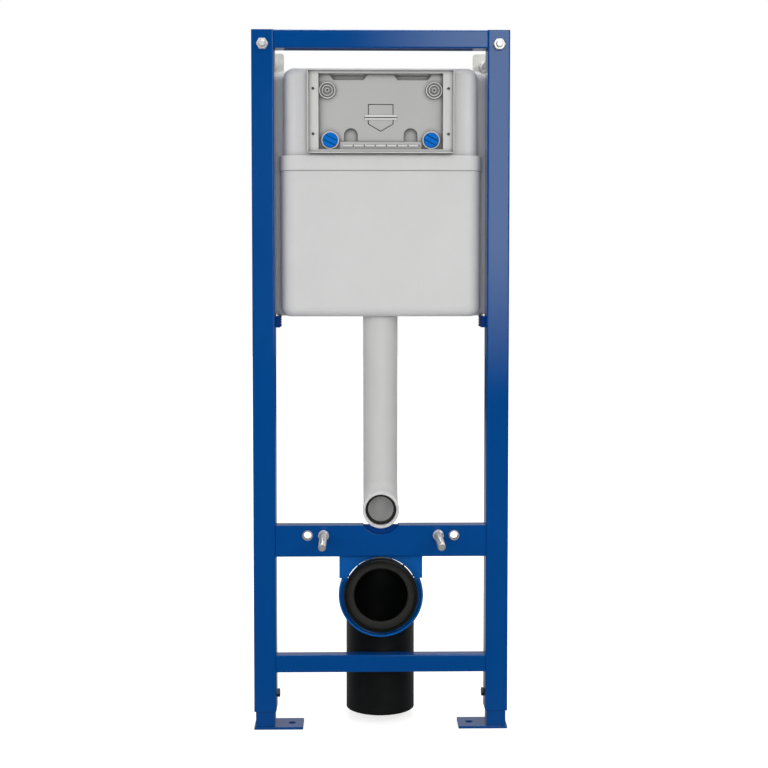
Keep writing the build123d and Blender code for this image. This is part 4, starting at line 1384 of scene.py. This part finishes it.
@dataclass
class Studio:
    """Pale floor, white background and soft lamps."""

    floor_rings: tuple[float, ...] = (0.02, 0.4, 1.0, 2.0, 4.0, 9.0)
    floor_sides: int = 96
    floor_drop: float = 0.0004
    floor_shade: float = 0.62
    floor_glow: float = 0.72
    glow_reach: Span = (0.5, 2.6)
    mirrored_depth: Span = (-0.3, 0.6)
    mirrored_behind: float = 0.4
    fade_reach: Span = (1.5, 5.0)
    ambient: float = 0.33
    mirrored_front: float = 0.03
    mirrored_level: float = 0.12
    sky_depth: Span = (-0.3, 0.1)
    sky_rise: Span = (0.03, 0.5)
    lamps: tuple[SoftLamp, ...] = (
        SoftLamp("key_lamp", (2.4, -2.2, 2.5), width=1.3, power=24.0, colour=(1.0, 0.985, 1.0)),
        SoftLamp("left_lamp", (-2.1, -2.4, 1.4), width=1.6, power=27.0, colour=(0.99, 0.97, 1.0),
                 mirrored=False),
        SoftLamp("top_lamp", (0.2, 0.2, 3.4), width=1.6, power=58.0),
        SoftLamp("front_lamp", (-0.25, -3.1, 0.9), width=1.0, power=21.0, colour=(1.0, 0.985, 1.0),
                 mirrored=False),
    )
    panel_corner: Span = (0.13, 0.32)
    panel_step: Span = (0.058, 0.072)
    panel_far_corner: Span = (1.5, 2.3)
    panel_depth: float = -3.02
    panel_gap: float = 0.01
    panel_steps: int = 7
    panel_power: float = 10.9
    panel_colour: Colour = (0.96, 1.0, 0.8)

    def build(self) -> None:
        """Make the floor, the world and the lamps."""
        self._floor()
        self._world()
        for lamp in self.lamps:
            lamp.hang()
        self._panel()

    def _panel(self) -> None:
        """Large soft panel to the right, in steps so that its left and lower edges fade in reflections."""
        right, high = self.panel_far_corner
        for step in range(self.panel_steps):
            left, low = (corner + step * size for corner, size in zip(self.panel_corner, self.panel_step))
            width, height = right - left, high - low
            power = self.panel_power / self.panel_steps * width * height
            place = ((left + right) / 2, self.panel_depth - self.panel_gap * step, (low + high) / 2)
            panel = SoftLamp(f"reflected_panel_{step + 1}", place, width, power, self.panel_colour, height)
            panel.hang().rotation_euler = (radians(90), 0, 0)

    def _floor(self) -> None:
        """Disc whose points are rings of the cosine and sine of the angle; white to the eye but for the
        object's shadow. Reflections see it dim in front of the object and fading far behind it."""
        rings = np.array(self.floor_rings)[:, None]
        angle = np.linspace(0, 2 * pi, self.floor_sides, endpoint=False)
        x, y = CENTRE_LINE + rings * np.cos(angle), rings * np.sin(angle)
        disc = np.stack([x, y, np.full(x.shape, -self.floor_drop)], axis=-1)
        quads, _ = lattice_faces(*x.shape, False, 0)
        mesh = bpy.data.meshes.new("floor")
        mesh.from_pydata(disc.reshape(-1, 3), [], quads[:, ::-1].tolist() + [list(range(len(angle)))])
        mesh.update()
        floor = bpy.data.objects.new("floor", mesh)
        bpy.context.scene.collection.objects.link(floor)
        made = bpy.data.materials.new("pale_floor")
        made.use_nodes = True
        graph = Graph(made.node_tree)
        output = graph.node("ShaderNodeOutputMaterial")
        matt = graph.set(graph.node("ShaderNodeBsdfDiffuse"), Color=(*[self.floor_shade] * 3, 1))
        white = graph.set(graph.node("ShaderNodeEmission"), Color=(1, 1, 1, 1))
        both = graph.node("ShaderNodeAddShader")
        seen, reflected = graph.rays()
        where = graph.place()
        reach = graph.node("ShaderNodeVectorMath", operation="LENGTH")
        graph.link(where, reach.inputs[0])
        lift = graph.stretch(*self.glow_reach, reach.outputs["Value"], self.floor_glow, 1.0)
        graph.link(graph.math("MULTIPLY", seen, lift), white.inputs["Strength"])
        graph.link(matt.outputs[0], both.inputs[0])
        graph.link(white.outputs[0], both.inputs[1])
        levels = (self.mirrored_front, self.mirrored_behind)
        behind = graph.stretch(*self.mirrored_depth, graph.split(where)["Y"], *levels)
        fade = graph.stretch(*self.fade_reach, reach.outputs["Value"], 1.0, self.mirrored_level)
        mirrored = graph.set(graph.node("ShaderNodeEmission"), Color=(1, 1, 1, 1))
        graph.link(graph.math("MULTIPLY", behind, fade), mirrored.inputs["Strength"])
        choice = graph.node("ShaderNodeMixShader")
        graph.link(reflected, choice.inputs["Fac"])
        graph.link(both.outputs[0], choice.inputs[1])
        graph.link(mirrored.outputs[0], choice.inputs[2])
        graph.link(choice.outputs[0], output.inputs["Surface"])
        mesh.materials.append(made)

    def _world(self) -> None:
        """White to the eye, a softer grey as light, and in reflections white but for a dim front.

        The reflected strength rises from its front value to one with the Y of the ray's direction, and
        is multiplied by a share that rises to one with its Z, so that level reflections stay quiet.
        """
        world = bpy.data.worlds.new("white_room")
        bpy.context.scene.world = world
        world.use_nodes = True
        graph = Graph(world.node_tree)
        output = graph.node("ShaderNodeOutputWorld")
        back = graph.set(graph.node("ShaderNodeBackground"), Color=(1, 1, 1, 1))
        seen, reflected = graph.rays()
        direction = graph.split(graph.node("ShaderNodeTexCoord").outputs["Generated"])
        behind = graph.stretch(*self.sky_depth, direction["Y"], self.mirrored_front, 1.0)
        raised = graph.stretch(*self.sky_rise, direction["Z"], self.mirrored_level, 1.0)
        mirrored = graph.math("MULTIPLY", behind, raised)
        plain = graph.stretch(0.0, 1.0, seen, self.ambient, 1.0)
        level = graph.stretch(0.0, 1.0, reflected, plain, mirrored)
        graph.link(level, back.inputs["Strength"])
        graph.link(back.outputs[0], output.inputs["Surface"])


@dataclass
class ViewCamera:
    """Camera at the photograph's viewing angle, in front of the frame and level with its middle."""

    place: Place = (0.105, -2.190, 0.7329)
    turn: float = 1.079
    tilt: float = 3.0
    lens: float = 65.32
    shift: float = -0.06

    def build(self) -> None:
        """Make the camera and set it as the scene's."""
        data = bpy.data.cameras.new("view_camera")
        data.lens = self.lens
        data.shift_y = self.shift
        camera = bpy.data.objects.new("view_camera", data)
        bpy.context.scene.collection.objects.link(camera)
        camera.location = self.place
        camera.rotation_euler = (radians(90 - self.tilt), 0, -radians(self.turn))
        bpy.context.scene.camera = camera


def main() -> None:
    """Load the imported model, dress it, add the finer pieces and set the studio and the camera."""
    logging.basicConfig(level=logging.INFO, format="%(name)s: %(message)s")
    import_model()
    scene = bpy.context.scene
    scene.view_settings.view_transform = "Standard"
    palette = Palette()
    palette.build()
    steel = SteelFrame()
    steel.dress(palette)
    log.info("weld beads: %d faces", len(steel.weld(palette).data.polygons))
    wall, pan, clamps = WallFixings(), PanFixings(), ClampBolts()
    for side in Side:
        wall.build(side, palette)
        pan.build(side, palette)
        clamps.build(side, palette)
        log.info("%s rods, studs, nuts, insert and clamp screw are made", side.word)
    cistern = Cistern()
    cistern.dress(palette)
    cistern.build(palette)
    Pipework().dress(palette)
    log.info("tank and pipes are dressed")
    Studio().build()
    ViewCamera().build()


if __name__ == "__main__":
    main()
